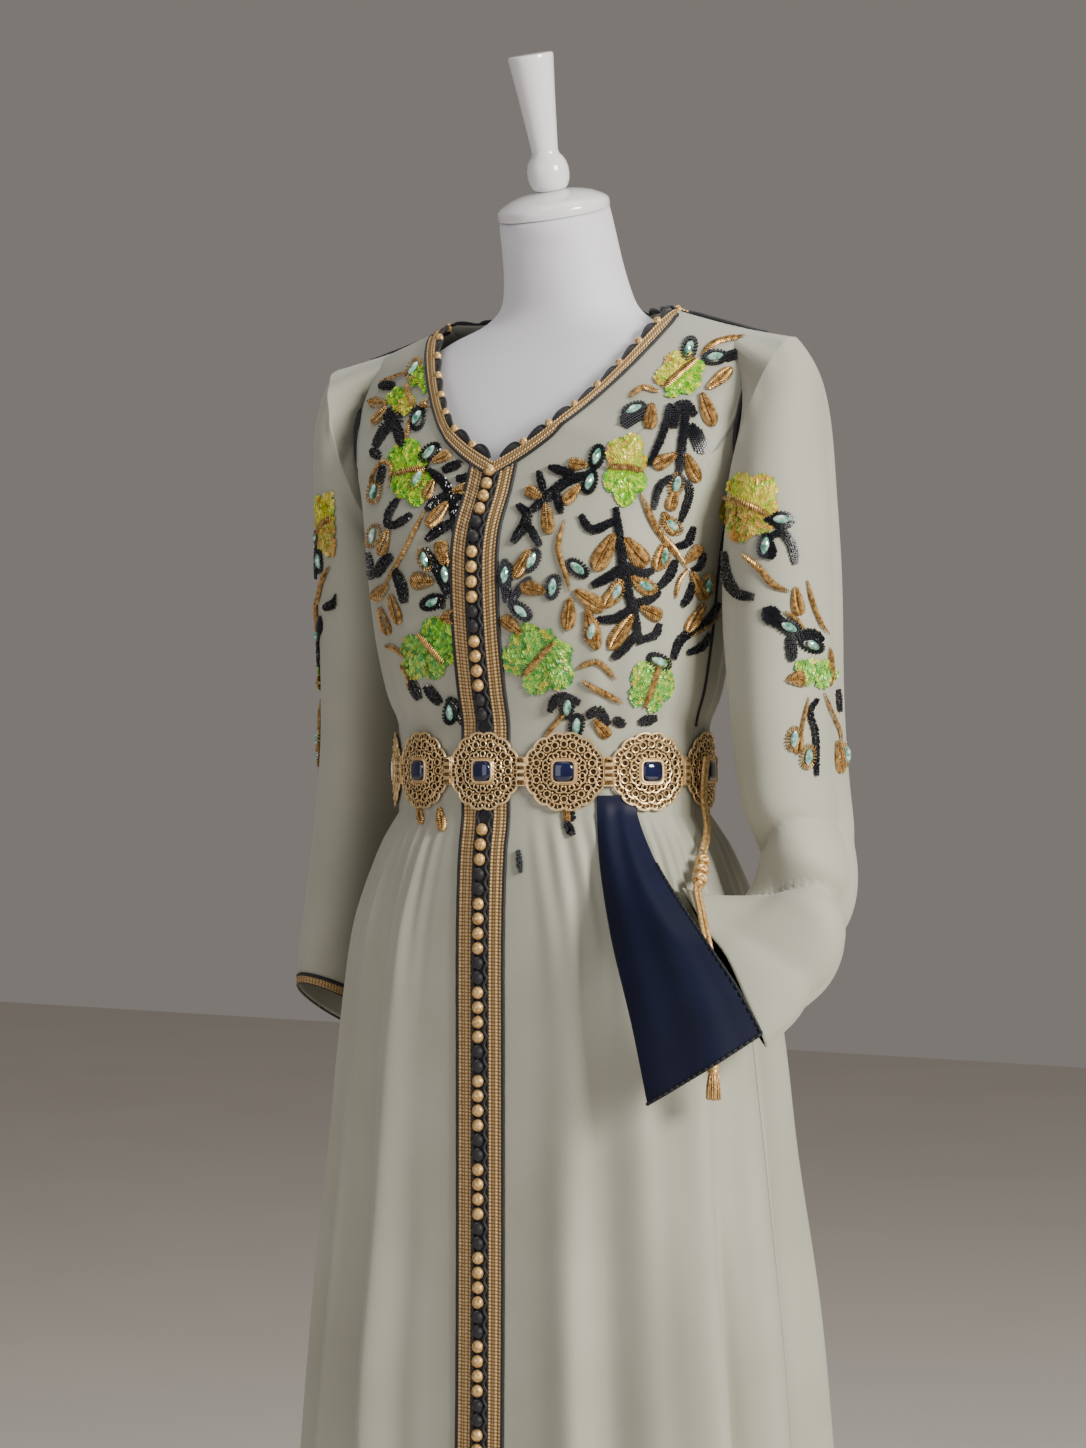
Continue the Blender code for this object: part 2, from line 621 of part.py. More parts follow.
def build():
    clean_scene()
    crepe = material("sage_crepe", (0.42, 0.43, 0.34), 0.75)
    gold = material("gold_braid", (0.60, 0.42, 0.17), 0.45, 0.6)
    metal = material("belt_gold", (0.72, 0.52, 0.24), 0.35, 1.0)
    black = material("black_trim", (0.01, 0.01, 0.012), 0.6)
    navy = material("navy_satin", (0.008, 0.013, 0.06), 0.4)
    stone = material("blue_stone", (0.01, 0.015, 0.08), 0.08)
    jersey = material("white_jersey", (0.82, 0.82, 0.84), 0.8)
    gloss = material("white_gloss", (0.85, 0.85, 0.86), 0.2)
    steel = material("white_steel", (0.80, 0.80, 0.80), 0.35)

    # The dress form: a lofted torso with its neck, closed at both ends
    rings = []
    levels = [row[0] for row in FORM]
    levels += [(a + b) / 2 for a, b in zip(levels[9:14], levels[10:15])]
    for z in sorted(levels):
        half, front, back, mid = spline(FORM, z)
        n = 2.2
        ring = []
        for k in range(FORM_SIDES):
            a = 2 * math.pi * k / FORM_SIDES
            x = half * math.copysign(abs(math.sin(a)) ** (2 / n), math.sin(a))
            c = math.cos(a)
            y = -front * c ** (2 / n) if c > 0 else back * (-c) ** (2 / n)
            ring.append(Vector((x, y + mid, z)))
        rings.append(ring)
    # The neck leans forward, so its last ring lies square to the cap's axis.
    lean = Vector((0, -0.30, 1)).normalized()
    for k, p in enumerate(rings[-1]):
        p.z += (p.y - 0.001) * 0.30
    points = [p for ring in rings for p in ring]
    faces = []
    for row in range(len(rings) - 1):
        for k in range(FORM_SIDES):
            n = (k + 1) % FORM_SIDES
            a = row * FORM_SIDES
            faces.append((a + k, a + n, a + FORM_SIDES + n, a + FORM_SIDES + k))
    last = (len(rings) - 1) * FORM_SIDES
    faces.append(tuple(range(FORM_SIDES))[::-1])
    faces.append(tuple(range(last, last + FORM_SIDES)))
    add_mesh("dress_form", points, faces, jersey)

    # The neck cap and the finial lean with the neck
    seat = Vector((0, 0.001, FORM[-1][0])) + lean * 0.0006
    cap = [(0.0478, 0.0), (0.0498, 0.0015), (0.0498, 0.0075), (0.047, 0.0105), (0.036, 0.0165),
           (0.018, 0.0205), (0.014, 0.021)]
    lathe("form_cap", cap, seat, lean, 24, gloss)
    finial = [(0.0135, 0.0213), (0.0165, 0.025), (0.0185, 0.034), (0.0175, 0.044), (0.0125, 0.052),
              (0.0118, 0.056), (0.0128, 0.068), (0.0165, 0.105), (0.0200, 0.137), (0.0192, 0.1395)]
    lathe("form_finial", finial, seat, lean, 20, gloss)

    # The stand: a pole from the base up to the form's underside
    base_profile = [(0.170, 0.0), (0.170, 0.008), (0.166, 0.012), (0.030, 0.016), (0.024, 0.030)]
    lathe("stand_base", base_profile, Vector((0, 0, 0)), Vector((0, 0, 1)), 32, steel)
    pole = [(0.0125, 0.030 + SEAM), (0.0125, FORM[0][0] - SEAM)]
    lathe("stand_pole", pole, Vector((0, 0, 0)), Vector((0, 0, 1)), 16, steel)

    # The kaftan's panels
    rights = front_columns(-1)
    lefts = front_columns(1)
    backs = back_columns()
    sheet("front_right", rights, crepe, flip=True)
    sheet("front_left", lefts, crepe)
    sheet("back", backs, crepe)

    # Sleeves
    left_loop = armhole_loop(1, lefts, backs)
    right_loop = armhole_loop(-1, rights, backs)
    left_rings = sleeve_rings(SLEEVE_LEFT, left_loop)
    right_rings = sleeve_rings(SLEEVE_RIGHT, right_loop)
    tube_wall("sleeve_left", left_rings, crepe)
    tube_wall("sleeve_right", right_rings, crepe)

    # Braid at the right cuff, on the sleeve's last rows
    cuff = []
    for ring_a, ring_b, share in ((right_rings[-2], right_rings[-1], 0.62), (right_rings[-1], right_rings[-1], 0)):
        middle = sum((p for p in ring_b), Vector()) / SLEEVE_SIDES
        ring = []
        for p, q in zip(ring_a, ring_b):
            point = p.lerp(q, share)
            away = point - middle
            away.z = 0
            ring.append(point + away.normalized() * (SEAM + TRIM + 0.0004))
        cuff.append(ring)
    faces = []
    points = [p for ring in cuff for p in ring]
    for k in range(SLEEVE_SIDES):
        n = (k + 1) % SLEEVE_SIDES
        faces.append((k, SLEEVE_SIDES + k, SLEEVE_SIDES + n, n))
    braid = add_mesh("cuff_braid", points, faces, gold)
    work = bmesh.new()
    work.from_mesh(braid.data)
    bmesh.ops.recalc_face_normals(work, faces=work.faces)
    face = work.faces[:][0]
    middle = sum((p for p in cuff[0]), Vector()) / SLEEVE_SIDES
    if face.normal.dot(face.calc_center_median() - middle) < 0:
        bmesh.ops.reverse_faces(work, faces=work.faces)
    work.to_mesh(braid.data)
    work.free()
    wall = braid.modifiers.new("wall", "SOLIDIFY")
    wall.thickness = TRIM
    wall.offset = -1
    wall.use_even_offset = False

    # The front trim: a dark channel for the buttons between two gold braids
    below = slice(0, -2)
    button_channel("placket_channel", [c[below] for c in rights], [c[below] for c in lefts], black)
    for name, side in (("placket_braid_right", rights), ("placket_braid_left", lefts)):
        inner = between(side[1], side[2], 0.03)
        pair = [inner[below], side[2][below]]
        strip(name, pair, gold, SEAM + TRIM, flip=name.endswith("right"))

    # The neckline braid, on the panels' two top rows
    def top_pair(c):
        return [c[-2], c[-2].lerp(c[-1], 0.97)]

    strip("neck_braid_right", [top_pair(c) for c in rights[0:10]], gold, 0.0004 + TRIM, flip=True)
    strip("neck_braid_left", [top_pair(c) for c in lefts[0:10]], gold, 0.0004 + TRIM)
    strip("neck_braid_back", [top_pair(c) for c in backs[10:23]], gold, 0.0006 + TRIM)

    # The belt: medallions bent round the waist, links between them and a square stone on each
    RING.clear()
    RING_LENGTHS.clear()
    ring, lengths = ring_line()
    RING.extend(ring)
    RING_LENGTHS.extend(lengths)
    pitch = lengths[-1] / MEDALLIONS
    half_width = (pitch - LINK_WIDTH) / 2
    sides = 16
    for m in range(MEDALLIONS):
        middle = m * pitch
        outline, inner = [], []
        for k in range(sides):
            a = 2 * math.pi * k / sides
            lobe = 1.0 if k % 2 == 0 else 0.95
            outline.append((half_width * lobe * math.cos(a), MEDALLION_HALF_HEIGHT * lobe * math.sin(a)))
            inner.append((0.013 * math.cos(a), 0.013 * math.sin(a)))
        ring_plate(f"belt_medallion_{m + 1:02d}", middle, outline, inner, BELT_OFF,
                   MEDALLION_THICK, metal, dome=0.0018)
        square = [(0.0070 * x, 0.0070 * y) for x, y in ((1, 0.6), (0.6, 1), (-0.6, 1), (-1, 0.6),
                                                       (-1, -0.6), (-0.6, -1), (0.6, -1), (1, -0.6))]
        small = [(0.6 * x, 0.6 * y) for x, y in square]
        ring_plate(f"belt_stone_{m + 1:02d}", middle, square, small,
                   BELT_OFF + MEDALLION_THICK + 0.0018 + SEAM, 0.0022, stone, dome=0.0012)
        start = LINK_WIDTH / 2 - SEAM
        plate = [(start * x, 0.012 * y) for x, y in ((1, 1), (-1, 1), (-1, -1), (1, -1))]
        core = [(0.5 * x, 0.5 * y) for x, y in plate]
        ring_plate(f"belt_link_{m + 1:02d}", middle + pitch / 2, plate, core, BELT_OFF, 0.0018, metal)

    # The turned-out cuff lining
    columns = []
    across, down = 8, 12
    for i in range(across + 1):
        u = i / across
        line = []
        for k in range(down + 1):
            row = catmull(LINING, k / down)
            left, right = Vector(row[0:3]), Vector(row[3:6])
            p = left.lerp(right, u)
            belly = 0.012 * math.sin(math.pi * u) * smooth(k / down * 1.6) + 0.0008 * math.sin(math.pi * u)
            p += Vector((0.45, -0.89, 0)) * belly
            line.append(p)
        columns.append(line)
    sheet("cuff_lining", columns, navy, 0.002, flip=True)

    # The belt's doubled hanging cord, its knots and its tassel
    route = [(0.1519, 0.002, 1.052), (0.1519, -0.002, 1.02), (0.161, -0.012, 0.992), (0.1672, -0.0305, 0.9722)]
    for name, shift in (("belt_cord_a", -0.0025), ("belt_cord_b", 0.0025)):
        cord(name, beside(route, shift), gold, 10)
    top = Vector((0.1680, -0.0325, 0.9685))
    end = Vector((0.1860, -0.0745, 0.9345))
    bump = [(0.0050, 0.0), (0.0072, 0.004), (0.0072, 0.009), (0.0040, 0.0125), (0.0072, 0.016),
            (0.0072, 0.021), (0.0040, 0.0245), (0.0072, 0.028), (0.0072, 0.034), (0.0050, 0.038)]
    run = (end - top).normalized()
    lathe("cord_knots", bump, top, run, 10, gold)
    out = top + run * 0.0388
    lower = [tuple(out), tuple(top + run * 0.050), (0.2020, -0.088, 0.905), (0.2100, -0.092, 0.875), (0.2120, -0.094, 0.840),
             (0.2120, -0.094, 0.803)]
    for name, shift in (("lower_cord_a", -0.0025), ("lower_cord_b", 0.0025)):
        cord(name, beside(lower, shift), gold, 13)
    tassel = [(0.0070, 0.0), (0.0062, 0.016), (0.0048, 0.022), (0.0058, 0.026), (0.0052, 0.031)]
    lathe("cord_tassel", tassel, Vector((0.2120, -0.094, 0.7715)), Vector((0, 0, 1)), 10, gold)


build()
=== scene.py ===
# %% [markdown]
# # A belted kaftan on a limbless dress form
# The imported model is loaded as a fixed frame: every piece made here has the same metres, the same
# origin under the base, and the same axes (+Z up, the wearer faces -Y, the wearer's left is +X).
# The cloth, trims, embroidery, belt and cords below stand for the plain solids of that frame.

# %% Load the frame
import math
import random

import bmesh
import bpy
from mathutils import Matrix, Vector, noise
from mathutils.bvhtree import BVHTree
from mathutils.kdtree import KDTree


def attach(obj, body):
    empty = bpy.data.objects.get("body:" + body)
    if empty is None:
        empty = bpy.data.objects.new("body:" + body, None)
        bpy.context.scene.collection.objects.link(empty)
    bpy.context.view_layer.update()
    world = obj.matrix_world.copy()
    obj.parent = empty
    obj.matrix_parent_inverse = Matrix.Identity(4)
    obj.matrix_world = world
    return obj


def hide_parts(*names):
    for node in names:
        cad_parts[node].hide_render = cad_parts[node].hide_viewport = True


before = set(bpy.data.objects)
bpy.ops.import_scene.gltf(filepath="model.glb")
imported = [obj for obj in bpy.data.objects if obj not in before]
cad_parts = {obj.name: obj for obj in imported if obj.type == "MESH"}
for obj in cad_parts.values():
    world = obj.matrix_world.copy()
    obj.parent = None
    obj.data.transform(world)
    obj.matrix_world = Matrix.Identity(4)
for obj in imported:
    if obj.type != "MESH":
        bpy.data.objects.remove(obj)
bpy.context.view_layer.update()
print("solids in the frame:", len(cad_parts))

# %% [markdown]
# ## The camera
# The photograph is taken from the wearer's front left, 32 degrees round from the front, level at
# chest height, from 2.8 m. Its 1448 pixels of height show 1.27 m, which gives the lens. A level
# camera keeps upright lines upright, so no shift is needed.

# %% Camera
TURN = math.radians(32)
FORWARD = Vector((-math.sin(TURN), math.cos(TURN), 0))
RIGHT = Vector((math.cos(TURN), math.sin(TURN), 0))
EYE = Vector((-0.0082, -0.0051, 1.08)) - FORWARD * 2.8
FOCAL_PX = 3182.0

camera_data = bpy.data.cameras.new("camera")
camera_data.sensor_fit = "VERTICAL"
camera_data.sensor_height = 24.0
camera_data.lens = 24.0 * FOCAL_PX / 1448
camera_data.clip_end = 60
camera = bpy.data.objects.new("camera", camera_data)
bpy.context.collection.objects.link(camera)
camera.matrix_world = Matrix((RIGHT, Vector((0, 0, 1)), -FORWARD)).transposed().to_4x4()
camera.location = EYE
bpy.context.scene.camera = camera
print("lens in mm:", round(camera_data.lens, 1))

# %% [markdown]
# ## Small helpers for finishes
# Colours are written as sRGB hex values, as a dye chart gives them, and one function turns them to
# the linear numbers that the shader needs. One function adds a node with its settings and links. On
# top of it, a finish is mottled between two or three colours and embossed with a fine relief, both by
# a noise on the piece's own coordinates, so that the pattern stays on the piece.

# %% Helpers for materials
def dye(hex_value):
    value = hex_value.lstrip("#")
    out = []
    for k in (0, 2, 4):
        c = int(value[k:k + 2], 16) / 255
        out.append(c / 12.92 if c <= 0.04045 else ((c + 0.055) / 1.055) ** 2.4)
    return (*out, 1.0)


def node(tree, kind, inputs=None, **settings):
    made = tree.nodes.new(kind)
    for name, value in settings.items():
        setattr(made, name, value)
    for name, value in (inputs or {}).items():
        if isinstance(value, bpy.types.NodeSocket):
            tree.links.new(value, made.inputs[name])
        else:
            made.inputs[name].default_value = value
    return made


def finish(name, colour, roughness, metallic=0.0, **sockets):
    look = bpy.data.materials.new(name)
    look.use_nodes = True
    surface = look.node_tree.nodes["Principled BSDF"]
    surface.inputs["Base Color"].default_value = dye(colour)
    surface.inputs["Roughness"].default_value = roughness
    surface.inputs["Metallic"].default_value = metallic
    for key, value in sockets.items():
        surface.inputs[key.replace("_", " ")].default_value = value
    return look


def speckle(look, scale, detail=3.0):
    """A noise with this many turns to the metre, on the piece's own coordinates."""
    tree = look.node_tree
    place = node(tree, "ShaderNodeTexCoord").outputs["Object"]
    return node(tree, "ShaderNodeTexNoise", {"Vector": place, "Scale": scale, "Detail": detail}).outputs["Fac"]


def mottle(look, pattern, *stops):
    """Dyes the surface between the stops, by a pattern."""
    tree = look.node_tree
    made = node(tree, "ShaderNodeValToRGB", {"Fac": pattern})
    while len(made.color_ramp.elements) < len(stops):
        made.color_ramp.elements.new(0.5)
    for element, (at, colour) in zip(made.color_ramp.elements, stops):
        element.position = at
        element.color = dye(colour)
    tree.links.new(made.outputs["Color"], tree.nodes["Principled BSDF"].inputs["Base Color"])


def emboss(look, pattern, distance, strength):
    """Raises the surface by a pattern; distance in metres."""
    tree = look.node_tree
    bump = node(tree, "ShaderNodeBump", {"Height": pattern, "Distance": distance, "Strength": strength})
    tree.links.new(bump.outputs["Normal"], tree.nodes["Principled BSDF"].inputs["Normal"])

# %% [markdown]
# ## Cloth finishes
# The kaftan is dyed polyester crepe: matt, slightly pebbled, with a weak sheen where it curves away.
# A crepe grain is under 1 mm, too fine to show here, so it is drawn at about 1.6 mm.
# The cuff's lining is satin, smoother and darker, with a broad highlight. The form wears white jersey.

# %% Cloth materials
crepe = finish("dyed_crepe", "#9FA08F", 0.72, Sheen_Weight=0.25, Sheen_Roughness=0.5)
mottle(crepe, speckle(crepe, 9.0, 2.0), (0.3, "#9D9E8D"), (0.7, "#A7A898"))
emboss(crepe, speckle(crepe, 620.0), 0.0005, 0.30)

satin = finish("navy_satin_lining", "#070D26", 0.55, Specular_IOR_Level=0.22)
mottle(satin, speckle(satin, 14.0), (0.3, "#060C24"), (0.7, "#0A1230"))
emboss(satin, speckle(satin, 700.0), 0.0003, 0.25)

jersey = finish("white_knitted_jersey", "#DCDCE2", 0.85, Sheen_Weight=0.3, Sheen_Roughness=0.6)
mottle(jersey, speckle(jersey, 6.0), (0.3, "#D8D8DF"), (0.7, "#E0E0E5"))
emboss(jersey, speckle(jersey, 800.0), 0.0003, 0.3)
print("cloth finishes:", crepe.name, satin.name, jersey.name)

# %% [markdown]
# ## Trim and thread finishes
# The braid is woven from gold-coloured metallised thread: ribs 3 mm apart run across it, drawn from
# the piece's own UV map in metres so that they follow its curve. Black trims are soutache cord and
# beads. Bullion is coiled wire, and its coils are modelled, so its finish only adds a fine mottle.

# %% Trim materials
braid_gold = finish("woven_metallic_braid", "#CDB58D", 0.5, 0.4)
tree = braid_gold.node_tree
along = {"Vector": node(tree, "ShaderNodeTexCoord").outputs["UV"]}
ribs = node(tree, "ShaderNodeTexWave", {**along, "Scale": 105.0, "Distortion": 1.5}, bands_direction="Y")
lines = node(tree, "ShaderNodeTexWave", {**along, "Scale": 95.0}, bands_direction="X")
weave = node(tree, "ShaderNodeMath", {0: ribs.outputs["Fac"], 1: lines.outputs["Fac"]}, operation="MULTIPLY")
mottle(braid_gold, weave.outputs[0], (0.0, "#7E6034"), (0.45, "#DCBE8C"))
emboss(braid_gold, weave.outputs[0], 0.0008, 0.8)

thread_gold = finish("gold_silk_cord", "#C7AA78", 0.42, 0.55)
mottle(thread_gold, speckle(thread_gold, 420.0, 2.0), (0.3, "#A87C42"), (0.7, "#F0CE90"))
emboss(thread_gold, speckle(thread_gold, 420.0, 2.0), 0.0006, 0.6)

bullion = finish("coiled_bullion_wire", "#A9834A", 0.36, 0.6)
mottle(bullion, speckle(bullion, 300.0, 2.0), (0.35, "#7E5A2A"), (0.62, "#CCA566"))

black_cord = finish("black_soutache_cord", "#0B0B10", 0.6, Sheen_Weight=0.15)
mottle(black_cord, speckle(black_cord, 400.0), (0.3, "#060609"), (0.7, "#14141A"))
emboss(black_cord, speckle(black_cord, 500.0), 0.0006, 0.6)

black_bead = finish("black_glass_beads", "#0A0C13", 0.30, Coat_Weight=0.3, Coat_Roughness=0.2)
mottle(black_bead, speckle(black_bead, 260.0), (0.35, "#030407"), (0.65, "#11141F"))

sequin = finish("dyed_film_sequins", "#7FB51D", 0.34, 0.15, Coat_Weight=0.35, Coat_Roughness=0.25)
tree = sequin.node_tree
colour = node(tree, "ShaderNodeVertexColor", layer_name="dye").outputs["Color"]
tree.links.new(colour, tree.nodes["Principled BSDF"].inputs["Base Color"])
emboss(sequin, speckle(sequin, 900.0), 0.0004, 0.4)

crystal = finish("coated_green_crystal", "#6FA896", 0.08, 0.35, Coat_Weight=0.6, Coat_Roughness=0.03)
mottle(crystal, speckle(crystal, 190.0), (0.35, "#3F7F6C"), (0.5, "#8CC7B4"), (0.65, "#D9EBDD"))
print("trim finishes:", braid_gold.name, bullion.name, sequin.name)

# %% [markdown]
# ## Hard finishes
# The belt's plates are cast brass with a thin pale gilding: bright on what stands proud, brown in
# the hollows, where the brown is partly the brass's patina and partly painted shade. The stones are
# dark blue glass. The neck cap and finial are glossy white lacquer, and the stand is powder-coated
# steel with a fine orange-peel relief.

# %% Hard materials
gilt = finish("gilt_cast_brass", "#D6BE92", 0.38, 0.75)
# Pointiness dyes the hollows brown: partly the brass's patina, partly painted shade in the recesses.
hollow_shade_and_patina = node(gilt.node_tree, "ShaderNodeNewGeometry").outputs["Pointiness"]
mottle(gilt, hollow_shade_and_patina, (0.43, "#7E5D2C"), (0.51, "#E2C592"))
emboss(gilt, speckle(gilt, 240.0), 0.0005, 0.45)

glass = finish("dark_blue_glass", "#070D2B", 0.06, 0.0, Coat_Weight=0.8, Coat_Roughness=0.03)
mottle(glass, speckle(glass, 60.0), (0.3, "#050920"), (0.7, "#101A45"))

lacquer = finish("white_gloss_lacquer", "#E9E9EA", 0.16, Coat_Weight=0.5, Coat_Roughness=0.06)
mottle(lacquer, speckle(lacquer, 5.0), (0.3, "#E6E6E8"), (0.7, "#ECECEC"))
emboss(lacquer, speckle(lacquer, 60.0, 1.0), 0.0004, 0.08)

powder = finish("powder_coated_steel", "#DADAD8", 0.4)
mottle(powder, speckle(powder, 8.0), (0.3, "#D6D6D4"), (0.7, "#DEDEDC"))
emboss(powder, speckle(powder, 350.0), 0.0003, 0.3)
print("hard finishes:", gilt.name, glass.name, lacquer.name, powder.name)

# %% [markdown]
# ## The hanging cords
# A doubled gold cord leaves the belt at the left hip, runs through a row of knots and hangs down to
# a small tassel. Cords come before the cloth. Each one is a single open spline, so that its real
# length can be measured. Its twist is modelled later.

# %% Cord routes
CORD_R = 0.0022


def catmull(stations, share):
    last = len(stations) - 1
    at = share * last
    i = min(int(at), last - 1)
    t = at - i
    p0, p1, p2, p3 = stations[max(i - 1, 0)], stations[i], stations[i + 1], stations[min(i + 2, last)]
    return [0.5 * (2 * b + (c - a) * t + (2 * a - 5 * b + 4 * c - d) * t**2 + (3 * b - a - 3 * c + d) * t**3)
            for a, b, c, d in zip(p0, p1, p2, p3)]


def beside(route, shift):
    way = []
    for k, p in enumerate(route):
        run = Vector(route[min(k + 1, len(route) - 1)]) - Vector(route[max(k - 1, 0)])
        side = run.cross(Vector((p[0], p[1], 0))).normalized()
        way.append(tuple(Vector(p) + side * shift))
    return way


KNOT_TOP = Vector((0.1680, -0.0325, 0.9685))
KNOT_END = Vector((0.1860, -0.0745, 0.9345))
KNOT_RUN = (KNOT_END - KNOT_TOP).normalized()
UPPER = [(0.1519, 0.002, 1.052), (0.1519, -0.002, 1.02), (0.161, -0.012, 0.992), (0.1672, -0.0305, 0.9722)]
LOWER = [tuple(KNOT_TOP + KNOT_RUN * 0.0388), tuple(KNOT_TOP + KNOT_RUN * 0.050), (0.2020, -0.088, 0.905),
         (0.2100, -0.092, 0.875), (0.2120, -0.094, 0.840), (0.2120, -0.094, 0.803)]


def smooth(t):
    t = min(1.0, max(0.0, t))
    return t * t * (3 - 2 * t)


def ring_faces(rows, sides, ends=True):
    """The faces of a tube whose points come ring by ring, with its two ends closed."""
    faces = []
    for row in range(rows - 1):
        for k in range(sides):
            n, a = (k + 1) % sides, row * sides
            faces.append((a + k, a + n, a + sides + n, a + sides + k))
    if ends:
        faces += [tuple(range(sides))[::-1], tuple(range((rows - 1) * sides, rows * sides))]
    return faces


def add_mesh(name, points, faces, look, uvs=None, shade=True):
    mesh = bpy.data.meshes.new(name)
    mesh.from_pydata([tuple(p) for p in points], [], faces)
    mesh.update()
    mesh.materials.append(look)
    if uvs:
        layer = mesh.uv_layers.new(name="UVMap")
        for loop in mesh.loops:
            layer.data[loop.index].uv = uvs[loop.vertex_index]
    if shade:
        mesh.shade_smooth()
    obj = bpy.data.objects.new(name, mesh)
    bpy.context.collection.objects.link(obj)
    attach(obj, "root")
    return obj


# %% Twisted cords
def twisted(name, route, stations, radius, look, plies=2, pitch=0.009, sides=12):
    """A mesh tube whose section has one lobe for each ply and turns as it goes."""
    line = [Vector(catmull(route, k / (stations - 1))) for k in range(stations)]
    points = []
    up = Vector((0, 0, 1))
    gone = 0.0
    for k, p in enumerate(line):
        run = (line[min(k + 1, stations - 1)] - line[max(k - 1, 0)]).normalized()
        side = run.cross(Vector((0, 1, 0)))
        side = side.normalized() if side.length > 0.1 else run.cross(up).normalized()
        other = run.cross(side)
        if k:
            gone += (p - line[k - 1]).length
        for s in range(sides):
            a = 2 * math.pi * s / sides
            r = radius * (0.80 + 0.20 * abs(math.cos(plies / 2 * (a - 2 * math.pi * gone / pitch))))
            points.append(p + side * (r * math.cos(a)) + other * (r * math.sin(a)))
    return mend(add_mesh(name, points, ring_faces(stations, sides), look)), line


def mend(obj, doubles=0.0):
    work = bmesh.new()
    work.from_mesh(obj.data)
    if doubles:
        bmesh.ops.remove_doubles(work, verts=work.verts, dist=doubles)
    bmesh.ops.recalc_face_normals(work, faces=work.faces)
    work.to_mesh(obj.data)
    work.free()
    return obj


def length_of(line):
    return sum((b - a).length for a, b in zip(line, line[1:]))


hanging = []
for label, route, shift, stations in (("belt_cord_a", UPPER, -0.0025, 46), ("belt_cord_b", UPPER, 0.0025, 46),
                                      ("lower_cord_a", LOWER, -0.0025, 100), ("lower_cord_b", LOWER, 0.0025, 100)):
    cord, line = twisted("gold_" + label, beside(route, shift), stations, CORD_R, thread_gold, 4, 0.010)
    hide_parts(label)
    hanging.append((cord, line, label))
    print(label, "is", round(length_of(line) * 1000), "mm long")


# %% [markdown]
# ## The kaftan's form
# A flat pattern is hard to drape by hand, so the cloth is described as sections: a table gives the
# half width and the depths of the body at several heights, and each section is a squared ellipse.
# The skirt's folds are a slow wave round it that grows towards the hem; fine gathers start below
# the belt, and the bodice is nearly smooth. The same numbers made the plain solids of the frame.

# %% Sections of the kaftan
HEM_Z, WAIST_Z, BELT_LOW, BELT_HIGH = 0.05, 1.04, 1.002, 1.078
NECK_V_Z, NECK_SIDE_X, NECK_SIDE_Z = 1.304, 0.12, 1.437
SHOULDER_X, SHOULDER_Z, UNDERARM_Z = 0.2, 1.412, 1.245
CHANNEL_HALF, BRAID_OUT, NECK_BRAID, SEAM = 0.008, 0.022, 0.013, 0.0003
SPREAD, FOLDS = 0.2, 17
OUTLINE = [
    (0.05, 0.262, 0.130, 0.225, 2.6), (0.44, 0.226, 0.120, 0.190, 2.6), (0.60, 0.212, 0.118, 0.178, 2.6),
    (0.80, 0.193, 0.118, 0.160, 2.6), (0.90, 0.178, 0.118, 0.145, 2.5), (0.97, 0.157, 0.115, 0.122, 2.3),
    (1.002, 0.1425, 0.110, 0.105, 2.2), (1.078, 0.1425, 0.110, 0.105, 2.2), (1.11, 0.151, 0.117, 0.109, 2.3),
    (1.16, 0.159, 0.125, 0.113, 2.5), (1.216, 0.165, 0.128, 0.118, 2.6), (1.245, 0.170, 0.123, 0.120, 2.6),
    (1.28, 0.182, 0.107, 0.121, 2.6), (1.33, 0.200, 0.094, 0.118, 2.6), (1.38, 0.207, 0.085, 0.110, 2.6),
    (1.45, 0.208, 0.078, 0.100, 2.6),
]


def spline(rows, at):
    last = len(rows) - 1
    i = 0
    while i < last - 1 and rows[i + 1][0] <= at:
        i += 1
    step = rows[i + 1][0] - rows[i][0]
    t = min(1.0, max(0.0, (at - rows[i][0]) / step))
    before, after = max(i - 1, 0), min(i + 2, last)
    values = []
    for k in range(1, len(rows[0])):
        p1, p2 = rows[i][k], rows[i + 1][k]
        m1 = (p2 - rows[before][k]) / (rows[i + 1][0] - rows[before][0]) * step
        m2 = (rows[after][k] - p1) / (rows[after][0] - rows[i][0]) * step
        values.append((2 * t**3 - 3 * t**2 + 1) * p1 + (t**3 - 2 * t**2 + t) * m1
                      + (3 * t**2 - 2 * t**3) * p2 + (t**3 - t**2) * m2)
    return values


def shoulder_height(x):
    slope = (NECK_SIDE_Z - SHOULDER_Z) / (SHOULDER_X - NECK_SIDE_X)
    return NECK_SIDE_Z - slope * (abs(x) - NECK_SIDE_X)


# %% Folds and gathers
# A few deep folds fall over the wearer's left thigh: the turn where each runs, its width in
# radians, and how far it stands out or, if negative, sinks in.
DEEP_FOLDS = [(0.27, 0.08, 0.006), (0.56, 0.15, -0.010), (0.93, 0.15, 0.016),
              (1.22, 0.07, -0.012), (1.45, 0.12, 0.009)]


def deep_share(turn):
    return smooth((turn - 0.25) / 0.2) * smooth((1.65 - turn) / 0.2)


